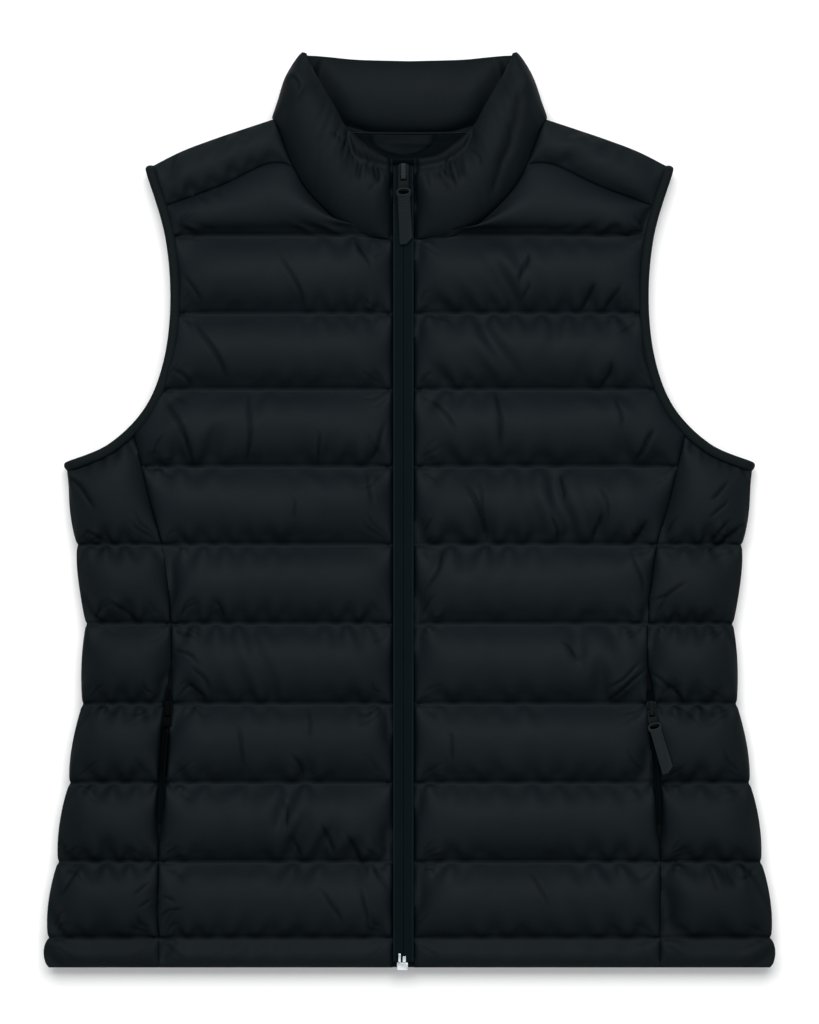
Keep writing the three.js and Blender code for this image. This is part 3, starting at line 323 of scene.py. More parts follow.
TINY = 1e-9
THREAD_PULL = 0.9
DIAGONAL_PULL = 0.35
BEND_RESISTANCE = 0.02
SLOWING = 0.9
SWEEPS = 2
PRESSURE = 0.007
SPARE_HEIGHT = -0.008
GATHER_MEAN = 0.85
GATHER_SWING = 1.3
GATHER_WAVES = (40, 30)
LEAST_GATHER = 0.05
SKEW = 0.08
SKEW_WAVES = (30, 50)
RUFFLES = ((0.30, (14, 8)), (0.22, (9, 5)))
TUCK_SPARE = 0.25
TUCK_DROP = 1.4
CREASE_BOW = 1.6
CREASE_WOBBLE = 0.5
CREASE_STARTS = (-0.12, 0.3)
CREASE_ENDS = (0.65, 1.12)


def wavy(random, shape, spacing, wavelengths):
    """Smooth seeded noise on a grid, between about -1 and 1."""
    size = [max(4, int(extent * spacing / length) + 3) for extent, length in zip(shape, wavelengths)]
    coarse = random.uniform(-1, 1, size)

    def spread(values, count, axis):
        places = np.linspace(1, values.shape[axis] - 2, count)
        base = np.floor(places).astype(int).clip(1, values.shape[axis] - 3)
        weights = smoothstep(places - base, 0, 1)
        weights = weights[:, None] if axis == 0 else weights[None, :]
        return lerp(np.take(values, base, axis), np.take(values, base + 1, axis), weights)

    return spread(spread(coarse, shape[0], 0), shape[1], 1)


def grid_normals(points):
    normals = np.cross(np.gradient(points, axis=1), np.gradient(points, axis=0))
    return normals / np.maximum(np.linalg.norm(normals, axis=2, keepdims=True), TINY)


def draw_together(a, b, free_a, free_b, rest, strength, total):
    """Moves both points of each pair towards their rest distance, each by how free it is."""
    gap = b - a
    size = np.maximum(np.linalg.norm(gap, axis=2), TINY)
    move = gap * (strength * (size - rest) / size / total)[..., None]
    a += move * free_a[..., None]
    b -= move * free_b[..., None]


def pull(points, free, rest, axis):
    """Brings neighbours along one axis of the grid to their rest distance, odd pairs after even ones."""
    if axis == 1:
        points, free, rest = points.swapaxes(0, 1), free.swapaxes(0, 1), rest.swapaxes(0, 1)
    for start in (0, 1):
        b, free_b = points[start + 1::2], free[start + 1::2]
        a, free_a = points[start:-1:2][:len(b)], free[start:-1:2][:len(b)]
        total = np.maximum(free_a + free_b, TINY)
        draw_together(a, b, free_a, free_b, rest[start::2][:len(b)], THREAD_PULL, total)


def pull_diagonals(points, free, rests):
    corners = (slice(None, -1), slice(1, None))
    for (first, second), rest in zip((((0, 0), (1, 1)), ((0, 1), (1, 0))), rests):
        a = (corners[first[0]], corners[first[1]])
        b = (corners[second[0]], corners[second[1]])
        draw_together(points[a], points[b], free[a], free[b], rest, DIAGONAL_PULL, 4)


def stiffen(points, free):
    """Resists bending: the fourth difference along each axis is worn down."""
    for work, mobile in ((points, free), (points.swapaxes(0, 1), free.swapaxes(0, 1))):
        bend = work[:-4] - 4 * work[1:-3] + 6 * work[2:-2] - 4 * work[3:-1] + work[4:]
        work[2:-2] -= BEND_RESISTANCE * bend * mobile[2:-2][..., None]


def diagonal_rests(points, spare, skew):
    """Rest lengths of both diagonals of each square of the grid."""
    ends = ((points[:-1, :-1], points[1:, 1:], skew), (points[:-1, 1:], points[1:, :-1], -skew))
    return [np.linalg.norm(b - a, axis=2) * (1 + spare[1:, 1:] / 2 + lean) for a, b, lean in ends]


def settle(points, pinned, gathers, tucks, seed, steps):
    """Lets cloth with spare length find its shape over its filling, held at its sewn lines.

    Gathers is the spare width at each point, and tucks how strongly a crease runs there.
    """
    random = np.random.default_rng(seed)
    free = (~pinned).astype(float)
    spacing = np.linalg.norm(points[0, 1] - points[0, 0])
    shape = points.shape[:2]
    uneven = GATHER_MEAN + GATHER_SWING * wavy(random, shape, spacing, GATHER_WAVES)
    spare = gathers * np.clip(uneven, LEAST_GATHER, None) + TUCK_SPARE * tucks
    skew = SKEW * wavy(random, shape, spacing, SKEW_WAVES)[1:, 1:]
    across = np.linalg.norm(np.diff(points, axis=1), axis=2) * (1 + spare[:, 1:])
    up = np.linalg.norm(np.diff(points, axis=0), axis=2) * (1 + SPARE_HEIGHT)
    diagonals = diagonal_rests(points, spare, skew)
    floor = points[..., 2].min() - 0.5
    place = points.copy()
    ruffle = sum(height * wavy(random, shape, spacing, waves) for height, waves in RUFFLES)
    place[..., 2] += (ruffle - TUCK_DROP * tucks) * free
    speed = np.zeros_like(place)
    for step in range(steps):
        speed = speed * SLOWING + grid_normals(place) * PRESSURE
        start = place.copy()
        place += speed * free[..., None]
        for sweep in range(SWEEPS):
            pull(place, free, across, 1)
            pull(place, free, up, 0)
            pull_diagonals(place, free, diagonals)
        stiffen(place, free)
        place[..., 2] = np.maximum(place[..., 2], floor)
        speed = (place - start) * free[..., None]
    return place


def crease_strength(points, side, creases, sharpness=0.5):
    """How strongly the creases run through each point, and the depth that they ask for."""
    x, y = side * points[..., 0], points[..., 1]
    strength = np.zeros_like(x)
    for start, end, depth, width in creases:
        a, b = spot(start), spot(end)
        run = b - a
        length = np.linalg.norm(run)
        part = ((x - a[0]) * run[0] + (y - a[1]) * run[1]) / length ** 2
        bow = CREASE_BOW * np.sin(np.pi * np.clip(part, 0, 1)) + CREASE_WOBBLE * np.sin(7 * part + depth * 9)
        distance = ((x - a[0]) * run[1] - (y - a[1]) * run[0]) / length + bow
        fade = smoothstep(part, *CREASE_STARTS) * (1 - smoothstep(part, *CREASE_ENDS))
        strength += depth * fade * bell(distance, width * sharpness)
    return strength


def finer(points, factor):
    """More points between the grid's own, on Catmull-Rom curves."""
    def refine(values):
        count = len(values)
        ends = np.concatenate([2 * values[:1] - values[1:2], values, 2 * values[-1:] - values[-2:-1]])
        places = np.linspace(0, count - 1, (count - 1) * factor + 1)
        base = np.minimum(places.astype(int), count - 2)
        part = (places - base).reshape(-1, *([1] * (values.ndim - 1)))
        a, b, c, d = (ends[base + shift] for shift in range(4))
        return 0.5 * (2 * b + (c - a) * part + (2 * a - 5 * b + 4 * c - d) * part ** 2
                      + (3 * b - a - 3 * c + d) * part ** 3)
    once = refine(points)
    return refine(once.swapaxes(0, 1)).swapaxes(0, 1)


# Meshes

def new_object(name, data):
    made = bpy.data.objects.new(name, data)
    bpy.context.scene.collection.objects.link(made)
    return made


def add_mesh(name, points, faces, material, body="vest", replaced=(), smooth_angle=50, folds_and_painted_shade=None):
    """Makes a piece that rides on a body; its last argument is the shade painted on its points, from the first
    one on.
    """
    mesh = bpy.data.meshes.new(name)
    mesh.from_pydata((np.asarray(points) * MM).tolist(), [], faces)
    mesh.update()
    mesh.materials.append(material)
    mesh.polygons.foreach_set("use_smooth", [True] * len(mesh.polygons))
    mesh.set_sharp_from_angle(angle=math.radians(smooth_angle))
    if folds_and_painted_shade is not None:
        values = np.zeros(len(points), np.float32)
        values[:folds_and_painted_shade.size] = folds_and_painted_shade.ravel()
        mesh.attributes.new("painted_shade", "FLOAT", "POINT").data.foreach_set("value", values)
    piece = new_object(name, mesh)
    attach(piece, body)
    if replaced:
        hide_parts(*replaced)
    return piece


def grid_faces(rows, columns, start=0, flipped=False):
    index = np.arange(rows * columns).reshape(rows, columns) + start
    quads = np.stack([index[:-1, :-1], index[:-1, 1:], index[1:, 1:], index[1:, :-1]], axis=-1).reshape(-1, 4)
    return (quads[:, ::-1] if flipped else quads).tolist()


def rim_of(rows, columns):
    index = np.arange(rows * columns).reshape(rows, columns)
    return np.concatenate([index[0], index[1:, -1], index[-1, -2::-1], index[-2:0:-1, 0]])


def slab(grid, base, side):
    """Closed body under an outer face: the face, walls round it and a flat face below."""
    rows, columns = grid.shape[:2]
    top = grid.reshape(-1, 3) * [side, 1, 1]
    rim = rim_of(rows, columns).tolist()
    below = top[rim].copy()
    below[:, 2] = base
    start, count = len(top), len(rim)
    after = [*range(1, count), 0]
    closing = [[rim[i], start + i, start + after[i], rim[after[i]]] for i in range(count)]
    closing.append(list(range(start, start + count))[::-1])
    if side < 0:
        closing = [face[::-1] for face in closing]
    return np.vstack([top, below]), grid_faces(rows, columns, 0, side < 0) + closing


def double_grid(over, under):
    """Closed body between two grids of points, one above the other."""
    rows, columns = over.shape[:2]
    count = rows * columns
    rim = rim_of(rows, columns).tolist()
    walls = [[a, count + a, count + b, b] for a, b in zip(rim, rim[1:] + rim[:1])]
    faces = grid_faces(rows, columns) + grid_faces(rows, columns, count, True) + walls
    return np.vstack([over.reshape(-1, 3), under.reshape(-1, 3)]), faces


def tube_faces(rings, size, closed=False):
    """Faces between rings of points, joined end to end or capped."""
    faces = []
    for ring in range(rings if closed else rings - 1):
        here, there = ring * size, ((ring + 1) % rings) * size
        for place in range(size):
            after = (place + 1) % size
            faces.append([here + place, here + after, there + after, there + place])
    if not closed:
        faces.append(list(range(size))[::-1])
        faces.append(list(range((rings - 1) * size, rings * size)))
    return faces


# Materials

# Colour that painted shade darkens the cloth towards
PAINTED_SHADE_COLOR = (0.0, 0.0012, 0.0017)
# Painted highlight on the slider's bridge: the height in metres above which it is lighter, its colour, and its
# blend
BRIDGE_PAINTED_HIGHLIGHT = (0.0230, (0.0120, 0.0165, 0.0175))
HIGHLIGHT_BLEND = 0.0008
WORN_SHADE = 0.8
CLOUD_SCALE = 14
GLOSS_SCALE = 60
CRINKLE_SCALE = 220
CRINKLE_DEPTH = 0.0006
FINE_DEPTH = 0.0002
# Dark and light colour, roughness, gloss, thread width in metres, and how strongly it is crinkled
CLOTHS = {
    "shell": ((0.0038, 0.0064, 0.0078), (0.0050, 0.0079, 0.0094), 0.60, 0.055, 0.0005, 0.30),
    "binding": ((0.0035, 0.0060, 0.0066), (0.0044, 0.0071, 0.0078), 0.68, 0.04, 0.0006, 0.2),
    # The lining's colour is its own black, made darker as painted shade for where it lies under the collar
    "lining": ((0.0024, 0.0041, 0.0050), (0.0034, 0.0054, 0.0065), 0.62, 0.018, 0.0005, 0.35),
    "zip_tape": ((0.0042, 0.0087, 0.0102), (0.0054, 0.0103, 0.0124), 0.75, 0.03, 0.0008, 0.1),
    "thread": ((0.0030, 0.0056, 0.0067), (0.0042, 0.0070, 0.0081), 0.62, 0.04, 0.0003, 0.1),
}
# Colour, roughness, metallic, gloss, scale of the wear, and where and to what colour a painted highlight
# lightens it
FINISHES = {
    # A darker copy of the dark metal, painted shade for the pull that lies in the right pocket's slit
    "painted_shade_metal": ((0.0006, 0.0012, 0.0014), 0.6, 0.0, 0.02, 350, None),
    # Dark metal, with a painted highlight along the top of the bridge
    "dark_metal": ((0.0024, 0.0046, 0.0053), 0.5, 0.0, 0.05, 350, BRIDGE_PAINTED_HIGHLIGHT),
    "bright_metal": ((0.50, 0.54, 0.57), 0.34, 1.0, 0.5, 350, None),
    "pull_tab": ((0.0060, 0.0098, 0.0110), 0.52, 0.0, 0.06, 500, None),
}


def new_material(name):
    material = bpy.data.materials.new(name)
    material.use_nodes = True
    nodes = material.node_tree.nodes
    shader = nodes["Principled BSDF"]
    return material, nodes, material.node_tree.links, shader


def noise_node(nodes, links, coordinates, scale, detail=4, rough=0.55):
    noise = nodes.new("ShaderNodeTexNoise")
    noise.inputs["Scale"].default_value = scale
    noise.inputs["Detail"].default_value = detail
    noise.inputs["Roughness"].default_value = rough
    links.new(coordinates, noise.inputs["Vector"])
    return noise.outputs["Fac"]


def ramp_node(nodes, links, factor, low, high, dark, light):
    ramp = nodes.new("ShaderNodeValToRGB")
    ramp.color_ramp.elements[0].position = low
    ramp.color_ramp.elements[1].position = high
    ramp.color_ramp.elements[0].color = (*dark, 1)
    ramp.color_ramp.elements[1].color = (*light, 1)
    links.new(factor, ramp.inputs["Fac"])
    return ramp.outputs["Color"]


def bump_node(nodes, links, height, strength, distance, before=None):
    bump = nodes.new("ShaderNodeBump")
    bump.inputs["Strength"].default_value = strength
    bump.inputs["Distance"].default_value = distance
    links.new(height, bump.inputs["Height"])
    if before is not None:
        links.new(before, bump.inputs["Normal"])
    return bump.outputs["Normal"]


def weave_node(nodes, links, coordinates, thread):
    """Plain weave: two crossed waves, a thread each in metres."""
    heights = []
    for direction in ("X", "Y"):
        wave = nodes.new("ShaderNodeTexWave")
        wave.bands_direction = direction
        wave.inputs["Scale"].default_value = 0.314 / thread
        wave.inputs["Distortion"].default_value = 0.6
        wave.inputs["Detail"].default_value = 1
        links.new(coordinates, wave.inputs["Vector"])
        heights.append(wave.outputs["Fac"])
    mix = nodes.new("ShaderNodeMath")
    mix.operation = "MULTIPLY"
    links.new(heights[0], mix.inputs[0])
    links.new(heights[1], mix.inputs[1])
    return mix.outputs[0]


def mix_node(nodes, links, factor, color, other):
    """Mixes a colour output towards a plain colour."""
    mix = nodes.new("ShaderNodeMix")
    mix.data_type = "RGBA"
    mix.inputs["B"].default_value = (*other, 1)
    links.new(factor, mix.inputs["Factor"])
    links.new(color, mix.inputs["A"])
    return mix.outputs["Result"]


def range_node(nodes, links, value, source, target):
    """Maps one range of a value onto another."""
    span = nodes.new("ShaderNodeMapRange")
    for name, number in zip(("From Min", "From Max", "To Min", "To Max"), (*source, *target)):
        span.inputs[name].default_value = number
    links.new(value, span.inputs["Value"])
    return span.outputs["Result"]


def cloth_material(name, dark, light, roughness, gloss_level, thread, crinkle):
    """Woven nylon: fine weave, small crinkles, faint clouding, and painted shade from each point's shade
    attribute, in its sharp folds and wherever else a piece sets it.
    """
    material, nodes, links, shader = new_material(name)
    coordinates = nodes.new("ShaderNodeTexCoord").outputs["Object"]
    clouds = noise_node(nodes, links, coordinates, CLOUD_SCALE, 5)
    # Painted shade: the points' attribute mixes the cloth's colour towards the shade colour
    painted_shade = nodes.new("ShaderNodeAttribute")
    painted_shade.attribute_name = "painted_shade"
    plain = ramp_node(nodes, links, clouds, 0.3, 0.7, dark, light)
    links.new(mix_node(nodes, links, painted_shade.outputs["Fac"], plain, PAINTED_SHADE_COLOR), shader.inputs["Base Color"])
    shader.inputs["Specular IOR Level"].default_value = gloss_level
    gloss = noise_node(nodes, links, coordinates, GLOSS_SCALE, 3)
    uneven = range_node(nodes, links, gloss, (0, 1), (roughness - 0.05, roughness + 0.06))
    links.new(uneven, shader.inputs["Roughness"])
    crinkles = noise_node(nodes, links, coordinates, CRINKLE_SCALE, 3)
    small = bump_node(nodes, links, crinkles, crinkle, CRINKLE_DEPTH)
    weave = weave_node(nodes, links, coordinates, thread)
    links.new(bump_node(nodes, links, weave, 0.12, FINE_DEPTH, small), shader.inputs["Normal"])
    return material


def hard_material(name, color, roughness, metallic, specular, grain, painted_highlight):
    """Painted, cast or moulded finish; the last argument is a height in metres and the colour of a painted
    highlight above it.
    """
    material, nodes, links, shader = new_material(name)
    coordinates = nodes.new("ShaderNodeTexCoord").outputs["Object"]
    wear = noise_node(nodes, links, coordinates, grain, 4)
    dark = tuple(channel * WORN_SHADE for channel in color)
    finish = ramp_node(nodes, links, wear, 0.35, 0.7, dark, color)
    # Painted highlight: above the given height the finish turns to the lighter colour
    if painted_highlight:
        height, highlight_color = painted_highlight
        separate = nodes.new("ShaderNodeSeparateXYZ")
        links.new(coordinates, separate.inputs["Vector"])
        rise = range_node(nodes, links, separate.outputs["Z"], (height, height + HIGHLIGHT_BLEND), (0, 1))
        finish = mix_node(nodes, links, rise, finish, highlight_color)
    links.new(finish, shader.inputs["Base Color"])
    uneven = range_node(nodes, links, wear, (0, 1), (roughness - 0.06, roughness + 0.08))
    links.new(uneven, shader.inputs["Roughness"])
    links.new(bump_node(nodes, links, wear, 0.15, FINE_DEPTH), shader.inputs["Normal"])
    shader.inputs["Metallic"].default_value = metallic
    shader.inputs["Specular IOR Level"].default_value = specular
    return material


shell, trim, lining, tape, thread_finish = (cloth_material(name, *looks) for name, looks in CLOTHS.items())
finishes = {name: hard_material(name, *looks) for name, looks in FINISHES.items()}


# Padded panels

SPACING = 2.6
DETAIL = 2
STEPS = 260
FRONT_WIDTH = 180.0
SIDE_WIDTH = 72.0
YOKE_WIDTH = 95.0
CHEST_HEIGHT = 48.0
YOKE_HEIGHT = 32.0
CHANNEL_REACHES = (30, 30)
YOKE_REACHES = (24, 24)
CROWN_GATHER = 0.022
SEAM_GATHER = 0.056
SEAM_GATHER_REACH = 9.0
HEM_GATHER = 0.012
CREASE_DEPTH = 0.72
CREASE_LIP = 0.15
CREASE_EASE = 6.0
SEAM_PINCH = 1.2
SEAM_PINCH_REACH = 1.6
STILL_ABOVE_BACK = 0.5
FLOOR_BLEND = 0.6
# Painted shade, 0 to 1: grooves, creases, hollows over seams, pocket mouth, beside the zip, side panels, back,
# hidden faces
GROOVE_SHADE = 0.6
GROOVE_PLACE = 1.0
GROOVE_REACH = 1.3
FOLD_SHADE = 0.52
FOLD_SHADE_LIMIT = 0.78
POCKET_SHADE = 0.3
POCKET_HEIGHT = 5.5
POCKET_LEAN = 0.5
POCKET_WAVES = ((11.3, 3.7), (6.1, 2.3), (3.4, 1.1))
MOUTH_SHADE = 0.75
MOUTH_SHADE_REACH = (2.6, 6.5)
ZIP_SHADE = 0.85
ZIP_SHADE_REACH = 2.2
SIDE_SHADE = 0.13
BACK_SHADE = 0.9
HIDDEN_SHADE = 0.6
DARKEST = 0.9


def count_for(length):
    return max(5, int(round(length / SPACING)) + 1)


def whiskers(side, points, lines, seed):
    """Short creases that fan out from the ends of the sewn lines, as rows like the table of creases."""
    random = np.random.default_rng(seed)
    rows = []
    for line in lines:
        for end, inward in ((0, 1), (-1, -1)):
            corner = points[line, end, :2]
            for place, rise in ((0, 1), (1, 1), (2, 1), (0, -1), (1, -1)):
                if random.uniform() < 0.3:
                    continue
                angle = math.radians(14 + 20 * place + random.uniform(-6, 6)) * rise
                start = corner + [inward * random.uniform(2, 8), rise * (1.5 + 3.0 * place)]
                reach = random.uniform(9, 24)
                stop = start + reach * np.array([inward * math.cos(angle), math.sin(angle)])
                places = [(PHOTO_MIDDLE[0] + side * x / MM_PER_PIXEL, PHOTO_MIDDLE[1] - y / MM_PER_PIXEL)
                          for x, y in (start, stop)]
                rows.append((*places, random.uniform(0.4, 1.2), random.uniform(2.2, 3.6)))
    return rows


def pocket_shade(x, above, side):
    """Painted shade in pockets of unequal width over the sewn lines; above is each row's height over each line.
    """
    shade = np.zeros_like(x)
    for line, height in enumerate(above.T):
        height = height[:, None]
        place = x + POCKET_LEAN * height + side * line
        wave = sum(np.sin(place / length + phase * line) for length, phase in POCKET_WAVES)
        top = np.maximum(POCKET_HEIGHT * (1 + 0.6 * wave), 0.5)
        pocket = (height > 0) * (1 - smoothstep(height, 0.3 * top, 1.15 * top))
        shade = np.maximum(shade, POCKET_SHADE * pocket)
    return shade


def joined(strips):
    """One grid of points from a panel's strips, and the rows where its sewn lines lie."""
    grids, sewn = [], [0]
    for strip in strips:
        grid = raise_rows(**strip)
        grids.append(grid if strip is strips[-1] else grid[:-1])
        sewn.append(sewn[-1] + len(grid) - 1)
    return np.vstack(grids), sewn


def sewn_spare(points, from_line):
    """Spare width at each point: most beside the sewn lines, least in the hem."""
    spare = lerp(CROWN_GATHER, SEAM_GATHER, bell(from_line, SEAM_GATHER_REACH))
    gathers = spare[:, None] * np.ones(points.shape[1])
    gathers[points[..., 1] < QUILT_LINES[0]] = HEM_GATHER
    return gathers


def panel_painted_shade(side, shaped, creases, above):
    """Painted shade at each point: in creases, over the sewn lines, in the pocket's mouth and beside the zip.
    """
    folds_and_painted_shade = np.clip(crease_strength(shaped, side, creases, 0.31) * FOLD_SHADE, 0, FOLD_SHADE_LIMIT)
    if above.size:
        folds_and_painted_shade = folds_and_painted_shade + pocket_shade(shaped[..., 0], above, side) * (1 - folds_and_painted_shade)
        groove = bell(above - GROOVE_PLACE, GROOVE_REACH).max(1)
        folds_and_painted_shade = np.maximum(folds_and_painted_shade, GROOVE_SHADE * groove[:, None])
    beside_mouth = np.abs(shaped[..., 0] - x_at(princess_seam, shaped[..., 1]))
    mouth = mouth_open(shaped[..., 1]) * (1 - smoothstep(beside_mouth, *MOUTH_SHADE_REACH))
    folds_and_painted_shade = np.maximum(folds_and_painted_shade, MOUTH_SHADE * mouth)
    return np.maximum(folds_and_painted_shade, ZIP_SHADE * bell(shaped[..., 0] - zip_edge(side), ZIP_SHADE_REACH))


def settled_panel(side, strips, seed):
    """Settles a panel's cloth: its grid of points, the shade painted on them, and the rows that are sewn."""
    points, sewn = joined(strips)
    pinned = np.zeros(points.shape[:2], bool)
    pinned[sewn] = True
    pinned[:, [0, -1]] = True
    from_line = np.abs(np.arange(len(points))[:, None] - np.array(sewn)[None]).min(1) * SPACING
    creases = CREASES + whiskers(side, points, sewn[1:-1], seed)
    tucks = crease_strength(points, side, creases) / 2
    shaped = finer(settle(points, pinned, sewn_spare(points, from_line), tucks, seed, STEPS), DETAIL)
    near = np.repeat(np.clip(from_line / CREASE_EASE, 0, 1), DETAIL)[:len(shaped), None]
    shaped[..., 2] -= CREASE_DEPTH * crease_strength(shaped, side, creases, 0.42) * near
    shaped[..., 2] += CREASE_LIP * crease_strength(shaped, side, creases, 1.0) * near
    above = (np.arange(len(shaped))[:, None] - np.array(sewn[1:-1])[None] * DETAIL) * SPACING / DETAIL
    if above.size:
        shaped[..., 2] -= SEAM_PINCH * bell(np.abs(above).min(1), SEAM_PINCH_REACH)[:, None]
    height = shaped[..., 2] - FRONT_BASE - STILL_ABOVE_BACK
    shaped[..., 2] = FRONT_BASE + STILL_ABOVE_BACK + FLOOR_BLEND * np.logaddexp(0, height / FLOOR_BLEND)
    return shaped, panel_painted_shade(side, shaped, creases, above), [row * DETAIL for row in sewn]


def panel_piece(name, side, shade, shaped, folds_and_painted_shade, sewn_rows):
    """Makes a panel's piece, and returns the points along its sewn rows."""
    vertices, faces = slab(shaped, FRONT_BASE, side)
    # Painted shade: the panel's own plus its shade, and a flat amount on its walls and underside
    painted_shade_on_hidden_faces = np.full(len(vertices) - folds_and_painted_shade.size, HIDDEN_SHADE)
    folds_and_painted_shade = np.concatenate([np.clip(folds_and_painted_shade + shade, 0, DARKEST).ravel(), painted_shade_on_hidden_faces])
    piece = add_mesh(name + "_cloth", vertices, faces, shell, replaced=[name], smooth_angle=70,
                     folds_and_painted_shade=folds_and_painted_shade)
    return [shaped[place] * [side, 1, 1] for place in sewn_rows]


def level_strip(bottom_y, top_y, inner, outer, columns, looks):
    """A strip between two level lines; inner and outer give x at a height and a place up the strip."""
    rows = count_for(top_y - bottom_y)
    t = np.linspace(0, 1, rows)
    u = np.linspace(0, 1, columns)
    y = lerp(bottom_y, top_y, t)
    bottom = plan(lerp(inner(bottom_y, 0), outer(bottom_y, 0), u), bottom_y)
    top = plan(lerp(inner(top_y, 1), outer(top_y, 1), u), top_y)
    return {"rows": coons(bottom, top, plan(inner(y, t), y), plan(outer(y, t), y)), **looks}


def channel_strips(heights, inner, outer, columns, rims):
    """Strips between level lines, from the hem up, and the looks that they share."""
    looks = {"crown": LOOSE_CROWN, "low": SEAM_THICKNESS, "high": SEAM_THICKNESS, "reaches": CHANNEL_REACHES,
             "rims": rims}
    hem = {**looks, "crown": HEM_CROWN, "low": RIM_THICKNESS}
    strips = []
    for low, high in zip(heights, heights[1:]):
        strips.append(level_strip(low, high, inner, outer, columns, looks if strips else hem))
    return strips, looks


def front_panel(side, seed):
    inner_x = zip_edge(side)
    columns = count_for(FRONT_WIDTH)
    heights = [HEM_EDGE, *QUILT_LINES[:-1]]

    def inner(y, t):
        return np.full_like(np.asarray(y, float), inner_x)

    def outer(y, t):
        return front_outer_x(np.asarray(y, float))

    strips, looks = channel_strips(heights, inner, outer, columns, (zip_rim, seam_rim))
    u = np.linspace(0, 1, columns)
    last_y = QUILT_LINES[-1]
    last = plan(lerp(inner_x, front_outer_x(last_y), u), lerp(NECK_Y, last_y, smoothstep(u, 0, 0.2)))
    t = np.linspace(0, 1, count_for(last_y - heights[-1]))
    bottom = plan(lerp(inner_x, front_outer_x(heights[-1]), u), heights[-1])
    inner_side = plan(inner_x, lerp(heights[-1], NECK_Y, t))
    outer_y = lerp(heights[-1], last_y, t)
    strips.append({"rows": coons(bottom, last, inner_side, plan(front_outer_x(outer_y), outer_y)), **looks})
    t = np.linspace(0, 1, count_for(CHEST_HEIGHT))
    inner_side = along(panel_neck(side)[0], t)
    inner_side[0] = last[0]
    outer_y = lerp(last_y, YOKE_ARMHOLE_Y, t)
    top = along(yoke_seam(side), u)
    strips.append({"rows": coons(last, top, inner_side, plan(front_outer_x(outer_y), outer_y)), **looks})
    return settled_panel(side, strips, seed)


def side_panel(side, seed):
    columns = count_for(SIDE_WIDTH)
    heights = [HEM_EDGE, *QUILT_LINES[:UNDERARM_LINE]]

    def inner(y, t):
        return princess_x(np.asarray(y, float), 1)

    def outer(y, t):
        return side_x(np.asarray(y, float), np.asarray(t, float))

    strips, looks = channel_strips(heights, inner, outer, columns, (seam_rim, outline_rim))
    start = PRINCESS_SEAM[-1]
    first = int(np.argmax(armhole_seam[:, 1] < start[1]))
    seam = smooth_line([(princess_x(start[1], 1), start[1]), *armhole_seam[first + 1:]], 40)
    bottom_y = heights[-1]
    u = np.linspace(0, 1, columns)
    t = np.linspace(0, 1, count_for(seam[0][1] - bottom_y))
    bottom = plan(lerp(princess_x(bottom_y, 1), side_x(bottom_y, 0), u), bottom_y)
    inner_y = lerp(bottom_y, seam[0][1], t)
    outer_y = lerp(bottom_y, seam[-1][1], t)
    outer_x = lerp(side_x(outer_y, t), x_at(side_seam, outer_y) - SEAM_GAP, smoothstep(t, 0.5, 1))
    top = along(seam, u)
    top[-1] = (outer_x[-1], outer_y[-1])
    rows = coons(bottom, top, plan(princess_x(inner_y, 1), inner_y), plan(outer_x, outer_y))
    strips.append({"rows": rows, **looks, "high": RIM_THICKNESS})
    return settled_panel(side, strips, seed)


def yoke_panel(side, seed):
    u = np.linspace(0, 1, count_for(YOKE_WIDTH))
    t = np.linspace(0, 1, count_for(YOKE_HEIGHT))
    bottom = along(yoke_seam(side), u) + [0, SEAM_GAP]
    top = along(shoulder_edge, u)
    inner = along(panel_neck(side)[1], t)
    inner[0] = bottom[0]
    inner[-1] = top[0]
    y = lerp(YOKE_ARMHOLE_Y + SEAM_GAP, armhole_seam[0][1], t)
    rows = coons(bottom, top, inner, plan(x_at(armhole_seam, y), y))
    strip = {"rows": rows, "crown": YOKE_CROWN, "low": SEAM_THICKNESS, "high": RIM_THICKNESS,
             "reaches": YOKE_REACHES, "rims": (zip_rim, seam_rim)}
    return settled_panel(side, [strip], seed)


# Back panel: rounded underneath at its edges, with shallow channels where it rests

BACK_EDGE_LIFT = 12.0
BACK_EDGE_REACH = 9.0
BACK_GROOVE = 2.6
BACK_GROOVE_REACH = 4.0


def back_half_x(y):
    underarm = armhole_seam[-1][1] - 3
    body = x_at(side_seam, y)
    lines = np.array([HEM_EDGE, *QUILT_LINES[:UNDERARM_LINE], underarm])
    index = np.clip(np.searchsorted(lines, y) - 1, 0, len(lines) - 2)
    part = (y - lines[index]) / (lines[index + 1] - lines[index])
    return np.where(y < underarm, body - NOTCH_DEPTH * (1 - puff(part)), x_at(armhole_seam, y))


